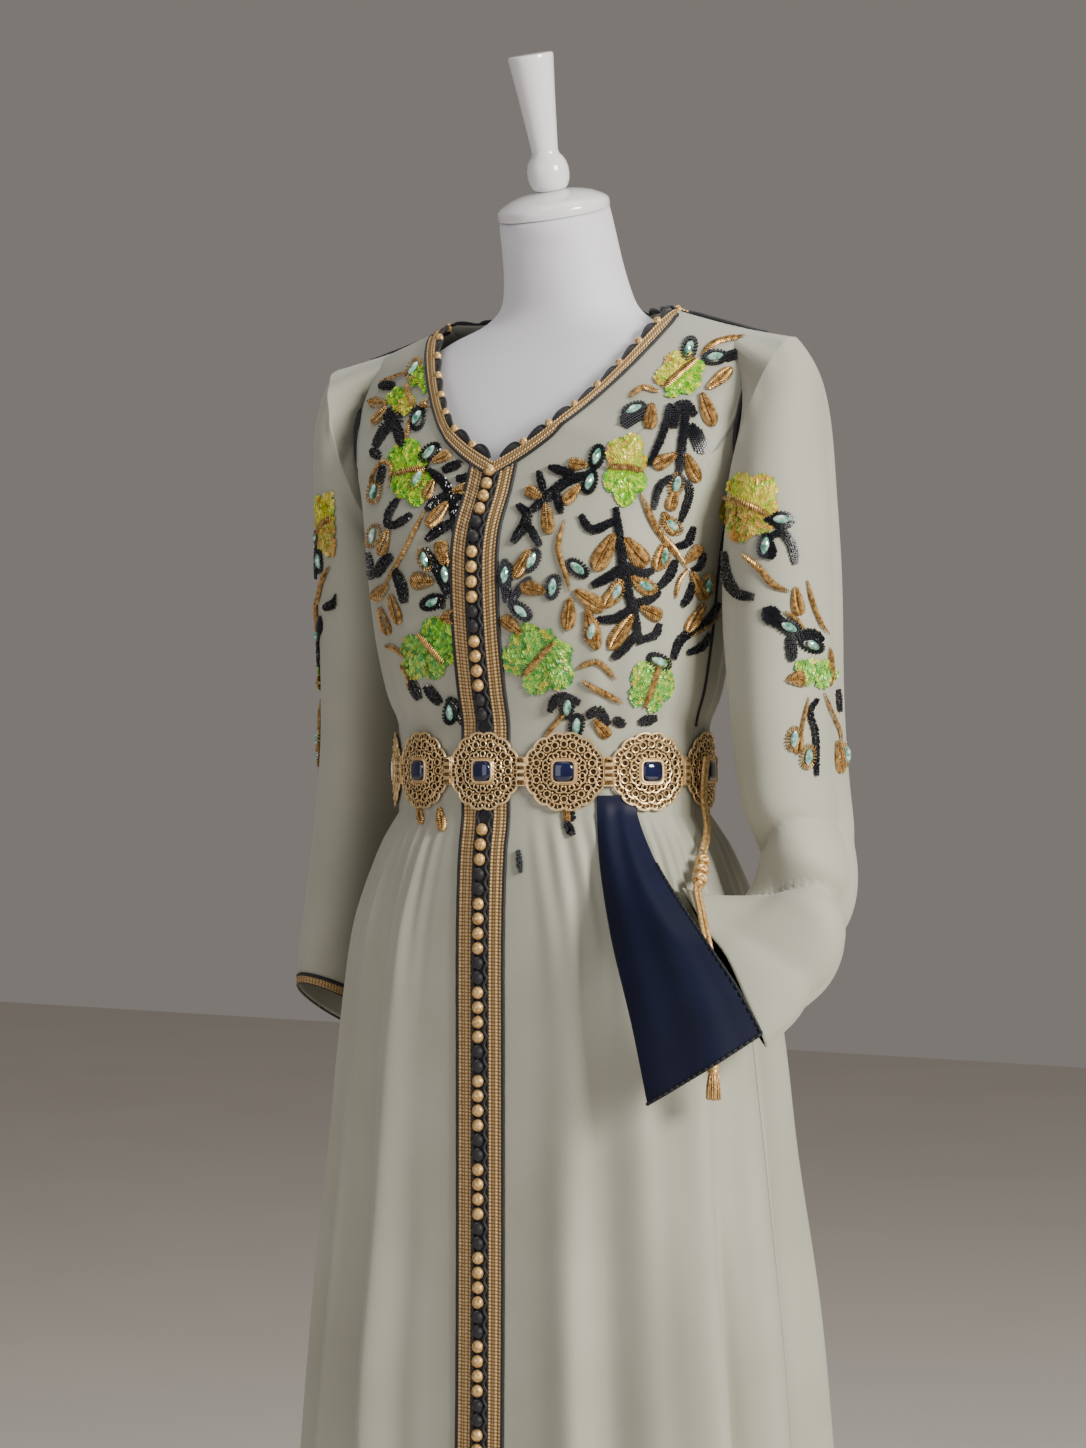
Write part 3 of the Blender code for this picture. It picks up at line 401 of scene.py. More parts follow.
def fold(turn, z):
    """How far the cloth stands out; turn goes round from the centre front, in radians."""
    edge = abs(math.remainder(turn, 2 * math.pi))
    if z >= BELT_LOW:
        # Above the belt the bodice blouses in a few soft upright pleats.
        lift = smooth((z - BELT_HIGH) / 0.02) * smooth((1.20 - z) / 0.10)
        pleat = 0.5 + 0.5 * math.cos(27 * turn + 1.5 * math.sin(3 * turn))
        return 0.0028 * lift * pleat * smooth((edge - 0.22) / 0.2)
    depth = 0.004 * smooth((BELT_LOW - z) / 0.12) + 0.006 * smooth((0.90 - z) / 0.45)
    depth += 0.004 * smooth((0.45 - z) / 0.4)
    wave = math.cos(FOLDS * turn + 0.9 * math.sin(2 * turn + 0.6) + 0.6 * math.sin(3.0 * z + turn))
    near_placket = smooth((edge - 0.16) / 0.3)
    gather = 0.5 + 0.5 * math.cos(61 * turn + 2.5 * math.sin(5 * turn + 1))
    fine = 0.0034 * smooth((BELT_LOW - z) / 0.012) * smooth((z - 0.80) / 0.16) * gather
    low = smooth((0.80 - z) / 0.22)
    ridge = (0.5 + 0.5 * wave) ** 1.2 - 0.22 * low
    even = (depth * (1.55 + 0.75 * low) * ridge * (1 - 0.55 * low * deep_share(turn)) + fine) * near_placket
    deep = sum(lift * math.exp(-((turn - at) / wide) ** 2) for at, wide, lift in DEEP_FOLDS)
    return even + deep * smooth((0.80 - z) / 0.30)


def on_cloth(x_sign, section, z, behind, out=0.0):
    half, front, back, n = spline(OUTLINE, z)
    depth = back if behind else front
    x = half * abs(math.sin(section)) ** (2 / n)
    y = depth * abs(math.cos(section)) ** (2 / n)
    turn = math.pi - section if behind else section
    grow = 1 + (fold(x_sign * turn, z) + out) / max(0.05, math.hypot(x, y))
    x, y = x * grow, y * grow
    close = 0.035 if behind else 0.12
    y *= math.sqrt(min(1.0, max(0.0, (shoulder_height(x) - z) / close)))
    y = y if behind else -y
    y += 0.012 * smooth((z - 1.25) / 0.16)
    return Vector((x_sign * x, y, z))


def section_at(x, z):
    half, _, _, n = spline(OUTLINE, z)
    return math.asin(min(1.0, abs(x) / half) ** (n / 2))


def armhole(t):
    z = SHOULDER_Z + (UNDERARM_Z - SHOULDER_Z) * (0.5 - 0.5 * math.cos(math.pi * t))
    under_x = spline(OUTLINE, UNDERARM_Z)[0]
    x = under_x + (SHOULDER_X - under_x) * math.cos(math.pi * t / 2) ** 0.7 if t < 1 else under_x
    return x, z


def neckline_front(x):
    share = min(1.0, x / NECK_SIDE_X)
    return NECK_V_Z + (NECK_SIDE_Z - NECK_V_Z) * (0.45 * share + 0.55 * share**3)

# %% [markdown]
# ## Columns of cloth
# A panel is woven from columns that run from the hem up to the neckline, the shoulder seam or the
# armhole. A number along the panel says which column: 0 is the centre, and the last is the side seam.
# The columns stand close together, so that the smallest gather still has four points across it.

# %% Columns
FRONT_XS = [SEAM / 2, CHANNEL_HALF, BRAID_OUT, 0.040, 0.058, 0.076, 0.093, 0.107, 0.116, NECK_SIDE_X]
SKIRT_ROWS, BODICE_ROWS = 70, 46


def front_top(i):
    if i <= 9:
        k = min(int(i), 8)
        x = FRONT_XS[k] + (FRONT_XS[k + 1] - FRONT_XS[k]) * (i - k)
        return x, neckline_front(x)
    if i <= 12:
        x = NECK_SIDE_X + (SHOULDER_X - NECK_SIDE_X) * (i - 9) / 3
        return x, shoulder_height(x) - 0.0004
    return armhole((i - 12) / 7)


def back_top(j):
    if j <= 7:
        return armhole(1 - j / 7)
    if j <= 10:
        x = NECK_SIDE_X + (SHOULDER_X - NECK_SIDE_X) * (10 - j) / 3
        return x, shoulder_height(x) - 0.0004
    s = math.pi / 2 * (j - 10) / 6
    return NECK_SIDE_X * math.cos(s), NECK_SIDE_Z + 0.008 * math.sin(s)


def column(x_sign, top, waist_section, behind, fixed_x=None, side_gap=0.0, spread=0.0):
    top_x, top_z = top
    top_section = section_at(top_x, top_z)

    def point(z):
        if fixed_x is not None:
            section = section_at(fixed_x, z)
        else:
            v = smooth((z - BELT_HIGH) / (top_z - BELT_HIGH))
            section = waist_section + (top_section - waist_section) * v
            section += spread * math.sin(math.pi * min(1.0, max(0.0, (top_z - z) / 0.12)))
        p = on_cloth(x_sign, section, z, behind)
        p.y += side_gap
        return p

    low, high, end = top_z - 0.05, top_z, point(top_z)
    for _ in range(20):
        last = (low + high) / 2
        if (point(last) - end).length > NECK_BRAID:
            low = last
        else:
            high = last
    heights = [HEM_Z + (BELT_LOW - HEM_Z) * (k / SKIRT_ROWS) ** 0.9 for k in range(SKIRT_ROWS + 1)]
    heights += [BELT_HIGH + (last - BELT_HIGH) * (1 - (1 - k / (BODICE_ROWS - 1)) ** 1.4) for k in range(BODICE_ROWS)]
    heights += [last + (top_z - last) * k / 3 for k in (1, 2, 3)]
    return [point(z) for z in heights]


def front_columns(x_sign, fine=9):
    start = section_at(BRAID_OUT, WAIST_Z)
    columns = []
    for n in range(19 * fine + 1):
        i = n / fine
        top = front_top(i)
        if i <= 2:
            columns.append(column(x_sign, top, 0, False, fixed_x=top[0]))
            continue
        share = (i - 2) / 17
        made = column(x_sign, top, start + (math.pi / 2 - start) * share, False,
                      side_gap=-SEAM / 2 * smooth((share - 0.5) * 2),
                      spread=SPREAD * math.exp(-(((i - 9) / (2.2 if i > 9 else 2.5)) ** 2)))
        if 9.01 < i < 12.01:
            made[-1].y -= SEAM
        columns.append(made)
    return columns


def back_columns(fine=7):
    halves = []
    for x_sign in (1, -1):
        half = []
        for n in range(16 * fine + 1):
            j = n / fine
            share = j / 16
            made = column(x_sign, back_top(j), math.pi / 2 * (1 - share), True,
                          side_gap=SEAM / 2 * smooth(1 - share * 2),
                          spread=SPREAD * math.exp(-(((j - 10) / (2.2 if j < 10 else 2.5)) ** 2)))
            if 6.99 < j < 10.01:
                made[-1].y += SEAM
            half.append(made)
        halves.append(half)
    return halves[0] + halves[1][-2::-1]


rights = front_columns(-1)
lefts = front_columns(1)
backs = back_columns()
print("columns in the fronts and back:", len(lefts), len(backs))

# %% [markdown]
# ## Panels with a wall
# Solidify gives each sheet its 1.2 mm thickness inwards. A little noise, largest where the cloth
# hangs free, breaks the even folds, as real crepe never hangs alike twice.

# %% Sew the panels
def crinkle(p, amount):
    return amount * noise.noise(Vector((p.x * 14, p.y * 14, p.z * 5)))


def grid_sheet(name, columns, look, thick, flip=False):
    rows = len(columns[0])
    points = [p for c in columns for p in c]
    faces = []
    for i in range(len(columns) - 1):
        for k in range(rows - 1):
            a = i * rows + k
            face = (a, a + rows, a + rows + 1, a + 1)
            faces.append(face[::-1] if flip else face)
    obj = add_mesh(name, points, faces, look)
    wall = obj.modifiers.new("wall", "SOLIDIFY")
    wall.thickness = thick
    wall.offset = -1
    wall.use_even_offset = False
    bpy.context.view_layer.objects.active = obj
    bpy.ops.object.modifier_apply(modifier="wall")
    return obj


def hang(columns):
    for c in columns:
        for k in range(SKIRT_ROWS):
            p = c[k]
            flat = smooth((abs(p.x) - 0.03) / 0.05) if p.y < 0 else 1.0
            amount = 0.005 * smooth((BELT_LOW - p.z) / 0.3) * flat
            edge = smooth((0.999 - abs(p.x) / (spline(OUTLINE, p.z)[0] + 0.02)) / 0.12)
            away = Vector((p.x, p.y, 0)).normalized()
            c[k] = p + away * crinkle(p, amount) * edge
    return columns


panel_right = grid_sheet("kaftan_front_right", hang(rights), crepe, 0.0012, flip=True)
panel_left = grid_sheet("kaftan_front_left", hang(lefts), crepe, 0.0012)
panel_back = grid_sheet("kaftan_back", hang(backs), crepe, 0.0012)
for panel, label in ((panel_right, "front_right"), (panel_left, "front_left"), (panel_back, "back")):
    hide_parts(label)
print("panel faces:", len(panel_left.data.polygons), len(panel_back.data.polygons))

# %% [markdown]
# ## Sleeves
# Each sleeve is a tube set on the armhole, with a fuller head at the shoulder. The wearer's left one
# is bent and pushed up, so its lower end wrinkles and its mouth turns forward; the right one hangs
# straight. A sleeve is given by stations: the middle of the section, its first direction, its two
# half sizes and the way it runs.

# %% Sleeve stations
SLEEVE_LEFT = [
    (0.2060, 0.007, 1.326, 0.33, 0.0, 0.95, 0.085, 0.044, 0.95, 0.0, -0.33),
    (0.216, 0.007, 1.304, 0.50, 0.0, 0.87, 0.077, 0.049, 0.87, 0.0, -0.50),
    (0.218, 0.008, 1.240, 0.76, 0.0, 0.65, 0.058, 0.054, 0.65, 0.0, -0.76),
    (0.219, 0.014, 1.130, 0.98, 0.0, 0.15, 0.044, 0.058, 0.10, 0.05, -0.98),
    (0.223, 0.022, 1.030, 1.00, 0.0, 0.00, 0.040, 0.058, 0.02, 0.05, -1.0),
    (0.235, 0.022, 0.960, 0.95, 0.0, -0.30, 0.039, 0.050, -0.10, -0.35, -0.93),
    (0.236, -0.013, 0.905, 0.75, 0.0, -0.66, 0.050, 0.031, -0.35, -0.75, -0.55),
    (0.2095, -0.062, 0.882, 0.56, -0.05, -0.83, 0.076, 0.013, -0.40, -0.88, -0.20),
]
SLEEVE_RIGHT = [
    (-0.2065, 0.007, 1.326, -0.33, 0.0, 0.95, 0.085, 0.044, -0.95, 0.0, -0.33),
    (-0.212, 0.008, 1.302, -0.46, 0.0, 0.89, 0.075, 0.049, -0.89, 0.0, -0.46),
    (-0.209, 0.012, 1.235, -0.80, 0.0, 0.60, 0.047, 0.053, -0.60, 0.0, -0.80),
    (-0.207, 0.018, 1.130, -0.98, 0.0, 0.15, 0.036, 0.056, -0.10, 0.02, -0.98),
    (-0.215, 0.024, 1.010, -1.00, 0.0, 0.00, 0.034, 0.060, -0.05, 0.03, -1.0),
    (-0.230, 0.028, 0.910, -1.00, 0.0, 0.00, 0.033, 0.065, -0.06, 0.03, -1.0),
    (-0.245, 0.030, 0.815, -1.00, 0.0, 0.00, 0.031, 0.070, -0.06, -0.42, -0.90),
]
SIDES, SLEEVE_ROWS = 96, 110


def armhole_edge(x_sign, fronts, behind):
    front = [c[-1] for c in fronts[12 * 9:]]
    line = [c[-1] for c in behind]
    line = line if x_sign > 0 else line[::-1]
    loop = front + line[1:10 * 7]
    return [p + Vector((x_sign * 0.003, 0, 0)) for p in loop]


def evenly(loop, count):
    """The same share of the front and of the back as on the plain solid, in equal steps."""
    closed = loop + [loop[0]]
    gone = [0.0]
    for a, b in zip(closed, closed[1:]):
        gone.append(gone[-1] + (b - a).length)
    out, i = [], 0
    for k in range(count):
        want = gone[-1] * k / count
        while gone[i + 1] < want:
            i += 1
        out.append(closed[i].lerp(closed[i + 1], (want - gone[i]) / max(1e-9, gone[i + 1] - gone[i])))
    return out


# %% Sleeve tubes
def wrinkle_left(u, a):
    """Folds of the bent sleeve, how far out and how far in: u runs from head (0) to mouth (1), a goes round."""
    front = 0.5 - 0.5 * math.sin(a)
    long_fold = abs(math.cos(1.5 * a + 1.1 + 0.6 * u))
    bend = math.exp(-((u - 0.80) / 0.13) ** 2)
    cross = abs(math.sin(23 * u + 1.3 * math.cos(a + 0.4)))
    head = math.exp(-((u - 0.03) / 0.05) ** 2) * (0.5 + 0.5 * math.cos(15 * a))
    crease = 0.010 * math.exp(-((u - 0.77) / 0.15) ** 2) * (1 - cross) ** 2 * smooth(0.1 + 1.2 * front)
    return 0.0075 * long_fold * smooth(u * 4) + 0.0065 * bend * cross * (0.4 + 0.6 * front) + 0.0015 * head, crease


def wrinkle_right(u, a):
    long_fold = 0.5 + 0.5 * math.cos(3 * a + 0.6 + 1.5 * u)
    head = math.exp(-((u - 0.03) / 0.05) ** 2) * (0.5 + 0.5 * math.cos(15 * a))
    cross = 0.5 + 0.5 * math.cos(24 * u + 1.5 * math.cos(a))
    calm = smooth((1 - u) * 8)  # the straight sleeve ends in an even mouth
    return 0.005 * long_fold * smooth(u * 4) * calm + 0.0015 * head + 0.001 * cross * calm, 0


def sleeve_rings(stations, loop, wrinkle, x_sign):
    rings = [evenly(loop, SIDES)]
    for row in range(SLEEVE_ROWS):
        u = row / (SLEEVE_ROWS - 1)
        values = catmull(stations, u)
        middle = Vector(values[0:3])
        run = Vector(values[8:11]).normalized()
        first = Vector(values[3:6])
        first = (first - run * first.dot(run)).normalized()
        second = run.cross(first) * x_sign
        ring = []
        for k in range(SIDES):
            a = 2 * math.pi * k / SIDES
            away = first * (values[6] * math.cos(a)) - second * (values[7] * math.sin(a))
            # Folds stand out only on the free side, away from the body.
            free = smooth(0.55 + 0.9 * away.normalized().dot(Vector((x_sign, -0.35, 0))))
            out, sunk = wrinkle(u, a)
            lift = (out * free - min(sunk, 0.25 * away.length)) * (row > 0)
            # The near edge of the bent sleeve's mouth reaches on, behind the turned-out lining.
            reach = 0.014 * smooth((u - 0.84) / 0.16) * (0.5 - 0.5 * math.sin(a)) * (x_sign > 0)
            ring.append(middle + away + away.normalized() * lift + run * reach)
        rings.append(ring)
    return rings


def tube(name, rings, look, thick, inside=None):
    count = len(rings[0])
    points = [p for ring in rings for p in ring]
    obj = mend(add_mesh(name, points, ring_faces(len(rings), count, ends=False), look))
    middle = sum(rings[5], Vector()) / count
    face = obj.data.polygons[5 * count]
    if face.normal.dot(face.center - middle) < 0:
        obj.data.flip_normals()
    wall = obj.modifiers.new("wall", "SOLIDIFY")
    wall.thickness = thick
    wall.offset = -1
    wall.use_even_offset = False
    if inside:
        obj.data.materials.append(inside)
        wall.material_offset = 1
    bpy.context.view_layer.objects.active = obj
    bpy.ops.object.modifier_apply(modifier="wall")
    return obj


left_rings = sleeve_rings(SLEEVE_LEFT, armhole_edge(1, lefts, backs), wrinkle_left, 1)
right_rings = sleeve_rings(SLEEVE_RIGHT, armhole_edge(-1, rights, backs), wrinkle_right, -1)
sleeve_left = tube("kaftan_sleeve_left", left_rings, crepe, 0.0012, satin)
sleeve_right = tube("kaftan_sleeve_right", right_rings, crepe, 0.0012)
for sleeve, label in ((sleeve_left, "sleeve_left"), (sleeve_right, "sleeve_right")):
    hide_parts(label)
print("sleeve faces:", len(sleeve_left.data.polygons), len(sleeve_right.data.polygons))

# %% [markdown]
# ## The dress form
# The torso is padded, covered in jersey and smooth, so a finer loft of the same sections with rounded
# ends is enough. It ends at the neck, whose last ring lies square to the leaning cap.

# %% Loft the form
FORM = [
    (0.80, 0.120, 0.085, 0.105, 0.010), (0.86, 0.146, 0.098, 0.122, 0.010), (0.92, 0.150, 0.100, 0.124, 0.008),
    (0.99, 0.140, 0.107, 0.1022, 0.000), (1.04, 0.1403, 0.1078, 0.1028, 0.000), (1.09, 0.140, 0.107, 0.1022, 0.000),
    (1.17, 0.146, 0.114, 0.104, 0.000), (1.216, 0.151, 0.117, 0.107, 0.001), (1.26, 0.154, 0.107, 0.108, 0.003),
    (1.30, 0.158, 0.090, 0.107, 0.006), (1.34, 0.165, 0.074, 0.101, 0.009), (1.38, 0.162, 0.058, 0.088, 0.012),
    (1.405, 0.142, 0.049, 0.073, 0.015), (1.422, 0.114, 0.047, 0.061, 0.019), (1.434, 0.082, 0.049, 0.055, 0.024),
    (1.448, 0.063, 0.051, 0.053, 0.026), (1.470, 0.055, 0.051, 0.051, 0.021), (1.500, 0.051, 0.049, 0.049, 0.011),
    (1.528, 0.0475, 0.0465, 0.0465, 0.001),
]
FORM_SIDES = 96
levels = [0.80 + 0.60 * k / 60 for k in range(60)] + [1.40 + 0.128 * k / 32 for k in range(33)]
points = []
for z in levels:
    half, front, back, mid = spline(FORM, z)
    for k in range(FORM_SIDES):
        a = 2 * math.pi * k / FORM_SIDES
        x = half * math.copysign(abs(math.sin(a)) ** (2 / 2.2), math.sin(a))
        c = math.cos(a)
        y = -front * c ** (2 / 2.2) if c > 0 else back * (-c) ** (2 / 2.2)
        # The last 30 mm tilt step by step until the top ring is square to the cap.
        tilt = 0.30 * y * smooth((z - 1.49) / 0.038)
        points.append((x, y + mid, z + tilt))
form = mend(add_mesh("padded_form", points, ring_faces(len(levels), FORM_SIDES), jersey))
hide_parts("dress_form")
print("form faces:", len(form.data.polygons))

# %% [markdown]
# ## Neck cap and finial
# Both are turned from wood and lacquered. Turning is imitated by hand: a circle is drawn at the
# bottom, then extruded and resized again and again up the profile; these two get no bevel on their rims.
# The finished piece is then tipped forward with the neck, and its place is applied to its mesh.

# %% Turn a profile
LEAN = Vector((0, -0.30, 1)).normalized()
SEAT = Vector((0, 0.001, FORM[-1][0])) + LEAN * 0.0006


def deselect():
    if bpy.context.object and bpy.context.object.mode != "OBJECT":
        bpy.ops.object.mode_set(mode="OBJECT")
    for other in list(bpy.context.selected_objects):
        other.select_set(False)


def turned(name, profile, sides, look, base, axis, bevel=0.0):
    deselect()
    radius, height = profile[0]
    bpy.ops.mesh.primitive_circle_add(vertices=sides, radius=radius, fill_type="NGON", location=(0, 0, height))
    obj = bpy.context.object
    obj.name = obj.data.name = name
    bpy.ops.object.transform_apply(location=True, rotation=True, scale=True)
    bpy.ops.object.mode_set(mode="EDIT")
    bpy.ops.mesh.select_all(action="SELECT")
    for r, h in profile[1:]:
        bpy.ops.mesh.extrude_region_move(TRANSFORM_OT_translate={"value": (0, 0, h - height)})
        bpy.ops.transform.resize(value=(r / radius, r / radius, 1), center_override=(0, 0, h))
        radius, height = r, h
    bpy.ops.mesh.select_all(action="SELECT")
    bpy.ops.mesh.normals_make_consistent(inside=False)
    bpy.ops.object.mode_set(mode="OBJECT")
    if bevel:
        soft = obj.modifiers.new("soft", "BEVEL")
        soft.width, soft.segments, soft.limit_method, soft.angle_limit = bevel, 2, "ANGLE", math.radians(35)
        bpy.ops.object.modifier_apply(modifier="soft")
    obj.data.materials.append(look)
    turn = Vector((0, 0, 1)).rotation_difference(axis).to_matrix().to_4x4()
    obj.data.transform(Matrix.Translation(base) @ turn)
    bpy.ops.object.shade_smooth_by_angle(angle=math.radians(40))
    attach(obj, "root")
    return obj


CAP = [(0.0478, 0.0), (0.0494, 0.0008), (0.0498, 0.0022), (0.0498, 0.0068), (0.0492, 0.0084), (0.0472, 0.0106),
       (0.0425, 0.0134), (0.036, 0.0165), (0.028, 0.0188), (0.020, 0.0202), (0.014, 0.0209)]
cap = turned("turned_neck_cap", CAP, 96, lacquer, SEAT, LEAN)
FINIAL = [(0.0125, 0.0212), (0.0140, 0.0222), (0.0160, 0.0245), (0.0178, 0.0290), (0.0186, 0.0345), (0.0184, 0.0400),
          (0.0172, 0.0450), (0.0150, 0.0492), (0.0126, 0.0520), (0.0117, 0.0545), (0.0118, 0.0580), (0.0128, 0.0680),
          (0.0165, 0.1050), (0.0198, 0.1345), (0.0200, 0.1372), (0.0196, 0.1388), (0.0186, 0.1395)]
finial = turned("turned_finial", FINIAL, 64, lacquer, SEAT, LEAN)
for piece, label in ((cap, "form_cap"), (finial, "form_finial")):
    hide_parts(label)
print("cap and finial faces:", len(cap.data.polygons), len(finial.data.polygons))

# %% [markdown]
# ## The stand
# A pressed steel disc with a rolled rim and a welded collar carries the pole. Both are turned in the
# same way. The pole has a clamp ring under the form, as such stands have.

# %% Turn the base and pole
BASE = [(0.168, 0.0), (0.1697, 0.0012), (0.170, 0.003), (0.170, 0.0080), (0.1688, 0.0102), (0.166, 0.012),
        (0.120, 0.0133), (0.060, 0.0149), (0.034, 0.0158), (0.0305, 0.0166), (0.0270, 0.0200), (0.0250, 0.0260),
        (0.0238, 0.0290), (0.0225, 0.0300)]
base = turned("pressed_base", BASE, 128, powder, Vector(), Vector((0, 0, 1)))
POLE = [(0.0112, 0.0303), (0.0125, 0.0316), (0.0125, 0.60), (0.0165, 0.6006), (0.0165, 0.618), (0.0125, 0.6186),
        (0.0125, 0.7990), (0.0118, 0.7997)]
pole = turned("stand_tube", POLE, 48, powder, Vector(), Vector((0, 0, 1)), 0.0006)
for piece, label in ((base, "stand_base"), (pole, "stand_pole")):
    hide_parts(label)
print("stand faces:", len(base.data.polygons) + len(pole.data.polygons))

# %% [markdown]
# ## Braids down the front
# Two woven gold braids edge a dark channel. A braid is a flat woven tape with a corded edge on each
# side, so its section is drawn once, as nine points with raised edges and a low middle rib, and
# carried along the cloth's own columns. It is lifted off the cloth by its own thickness.

# %% Carry a section along a line
def surface_normal(before, after, low, high, p):
    n = (after - before).cross(high - low).normalized()
    toward = Vector((p.x, p.y - 0.012, 0.35 * smooth((p.z - 1.33) / 0.05)))
    return -n if n.dot(toward) < 0 else n


def tape(name, side_a, side_b, look, profile, lift, uv_width, label=None):
    """A tape between two lines of points; profile gives (share across, height) from a to b."""
    rows = len(side_a)
    points, uvs, gone = [], [], 0.0
    for k in range(rows):
        low, high = max(k - 1, 0), min(k + 1, rows - 1)
        a, b = side_a[k], side_b[k]
        n = surface_normal(a, b, (side_a[low] + side_b[low]) / 2, (side_a[high] + side_b[high]) / 2, (a + b) / 2)
        if k:
            gone += ((a + b) / 2 - (side_a[k - 1] + side_b[k - 1]) / 2).length
        for share, height in profile:
            points.append(a.lerp(b, share) + n * (lift + height))
            uvs.append((share * uv_width, gone))
    obj = mend(add_mesh(name, points, ring_faces(rows, len(profile)), look, uvs))
    obj.data.set_sharp_from_angle(angle=math.radians(50))
    if label:
        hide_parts(label)
    return obj


BRAID_SECTION = [(0.0, 0.0), (0.0, 0.0009), (0.05, 0.0016), (0.13, 0.0017), (0.21, 0.0010),
                 (0.34, 0.0011), (0.42, 0.0017), (0.5, 0.0019), (0.58, 0.0017), (0.66, 0.0011),
                 (0.79, 0.0010), (0.87, 0.0017), (0.95, 0.0016), (1.0, 0.0009), (1.0, 0.0)]


def denser(line, step):
    """The same line with points about a step apart."""
    out = [line[0]]
    for a, b in zip(line, line[1:]):
        count = max(1, round((b - a).length / step))
        out += [a.lerp(b, k / count) for k in range(1, count + 1)]
    return out


def paired(a, b, step):
    """Two lines cut into the same number of parts."""
    outs = ([a[0]], [b[0]])
    for k in range(len(a) - 1):
        count = max(1, round((a[k + 1] - a[k]).length / step))
        for n in range(1, count + 1):
            outs[0].append(a[k].lerp(a[k + 1], n / count))
            outs[1].append(b[k].lerp(b[k + 1], n / count))
    return outs


# The columns at the channel's edge and at the braid's outer edge are the tenth and nineteenth.
FINE = 9
TOP_CUT = -4
edge_lines = {}
for label, fronts in (("right", rights), ("left", lefts)):
    inner = [p.lerp(q, 0.03) for p, q in zip(fronts[FINE], fronts[2 * FINE])][:TOP_CUT]
    outer = fronts[2 * FINE][:TOP_CUT]
    a, b = paired(inner, outer, 0.0035)
    edge_lines[label] = (a, b)
    tape("woven_front_braid_" + label, a, b, braid_gold, BRAID_SECTION, 0.0004, 0.0135,
         "placket_braid_" + label)
print("front braid rows:", len(edge_lines["left"][0]))

# %% [markdown]
# ## Round cords: piping and soutache
# Black piping runs outside each gold braid, round the neckline, down the armholes and the side seams.
# It is one round cord laid along a line on the cloth. A helper makes such a tube, with a slight
# twist in its section so that the light catches its turns.

# %% Piping
def cord_along(name, line, radius, look, sides=8, twist=0.0, lobes=0.0):
    points = []
    count = len(line)
    side = None
    gone = 0.0
    for k, p in enumerate(line):
        run = (line[min(k + 1, count - 1)] - line[max(k - 1, 0)]).normalized()
        if side is None:
            side = run.cross(Vector((0.3, 0.2, 0.93))).normalized()
        side = (side - run * side.dot(run)).normalized()
        other = run.cross(side)
        if k:
            gone += (p - line[k - 1]).length
        for s in range(sides):
            a = 2 * math.pi * s / sides
            r = radius * (1 - lobes + lobes * abs(math.cos(a - twist * gone)))
            points.append(p + side * (r * math.cos(a)) + other * (r * math.sin(a)))
    return mend(add_mesh(name, points, ring_faces(count, sides), look))


def off_cloth(line, beside_line, out):
    """A line lifted off the cloth; beside_line runs next to it on the same cloth."""
    raised = []
    for k, p in enumerate(line):
        low, high = line[max(k - 1, 0)], line[min(k + 1, len(line) - 1)]
        raised.append(p + surface_normal(p, beside_line[k], low, high, p) * out)
    return raised


for label, fronts in (("right", rights), ("left", lefts)):
    a, b = edge_lines[label]
    outside = [q + (q - p).normalized() * 0.0011 for p, q in zip(a, b)]
    cord_along("piping_front_" + label, off_cloth(outside, a, 0.0010), 0.0016, black_cord, twist=900, lobes=0.12)
    inside = [p - (q - p).normalized() * 0.0005 for p, q in zip(a, b)]
    cord_along("piping_channel_" + label, off_cloth(inside, b, 0.0012), 0.0009, black_cord, sides=6)

# %% [markdown]
# ## The button channel
# The dark channel is a row of worked loops. Black soutache runs in scallops from loop to loop along
# both sides, and a ball button sits at every 12.5 mm: four covered in gold thread, then two in black.

# %% Channel and its scallops
BUTTON_PITCH = 0.0125
flat_r, flat_l = paired(rights[FINE][:TOP_CUT], lefts[FINE][:TOP_CUT], 0.006)
CHANNEL_SECTION = [(0.04, 0.0), (0.04, 0.0010), (0.2, 0.0012), (0.5, 0.0013), (0.8, 0.0012),
                   (0.96, 0.0010), (0.96, 0.0)]
tape("black_button_channel", flat_r, flat_l, black_cord, CHANNEL_SECTION, 0.0004, 0.016,
     "placket_channel")
middle_line = [(a + b) / 2 for a, b in zip(*paired(rights[FINE][:TOP_CUT], lefts[FINE][:TOP_CUT], 0.0015))]


def stations_on(line, pitch):
    """Points each a pitch apart along a line, with the way that it runs there."""
    out, want, gone = [], 0.0, 0.0
    for a, b in zip(line, line[1:]):
        step = (b - a).length
        while want <= gone + step:
            out.append((a.lerp(b, (want - gone) / step), (b - a).normalized()))
            want += pitch
        gone += step
    return out


seats = stations_on(middle_line[::-1], BUTTON_PITCH)
for label, sign in (("right", -1), ("left", 1)):
    line = []
    for k, (p, run) in enumerate(stations_on(middle_line[::-1], BUTTON_PITCH / 8)):
        wave = abs(math.sin(math.pi * k / 8))
        line.append(p + Vector((sign * (0.0080 - 0.0030 * wave), -0.0022 - 0.0006 * wave, 0)))
    cord_along("loop_cord_" + label, line, 0.0013, black_cord, sides=6)
print("buttons' seats:", len(seats))


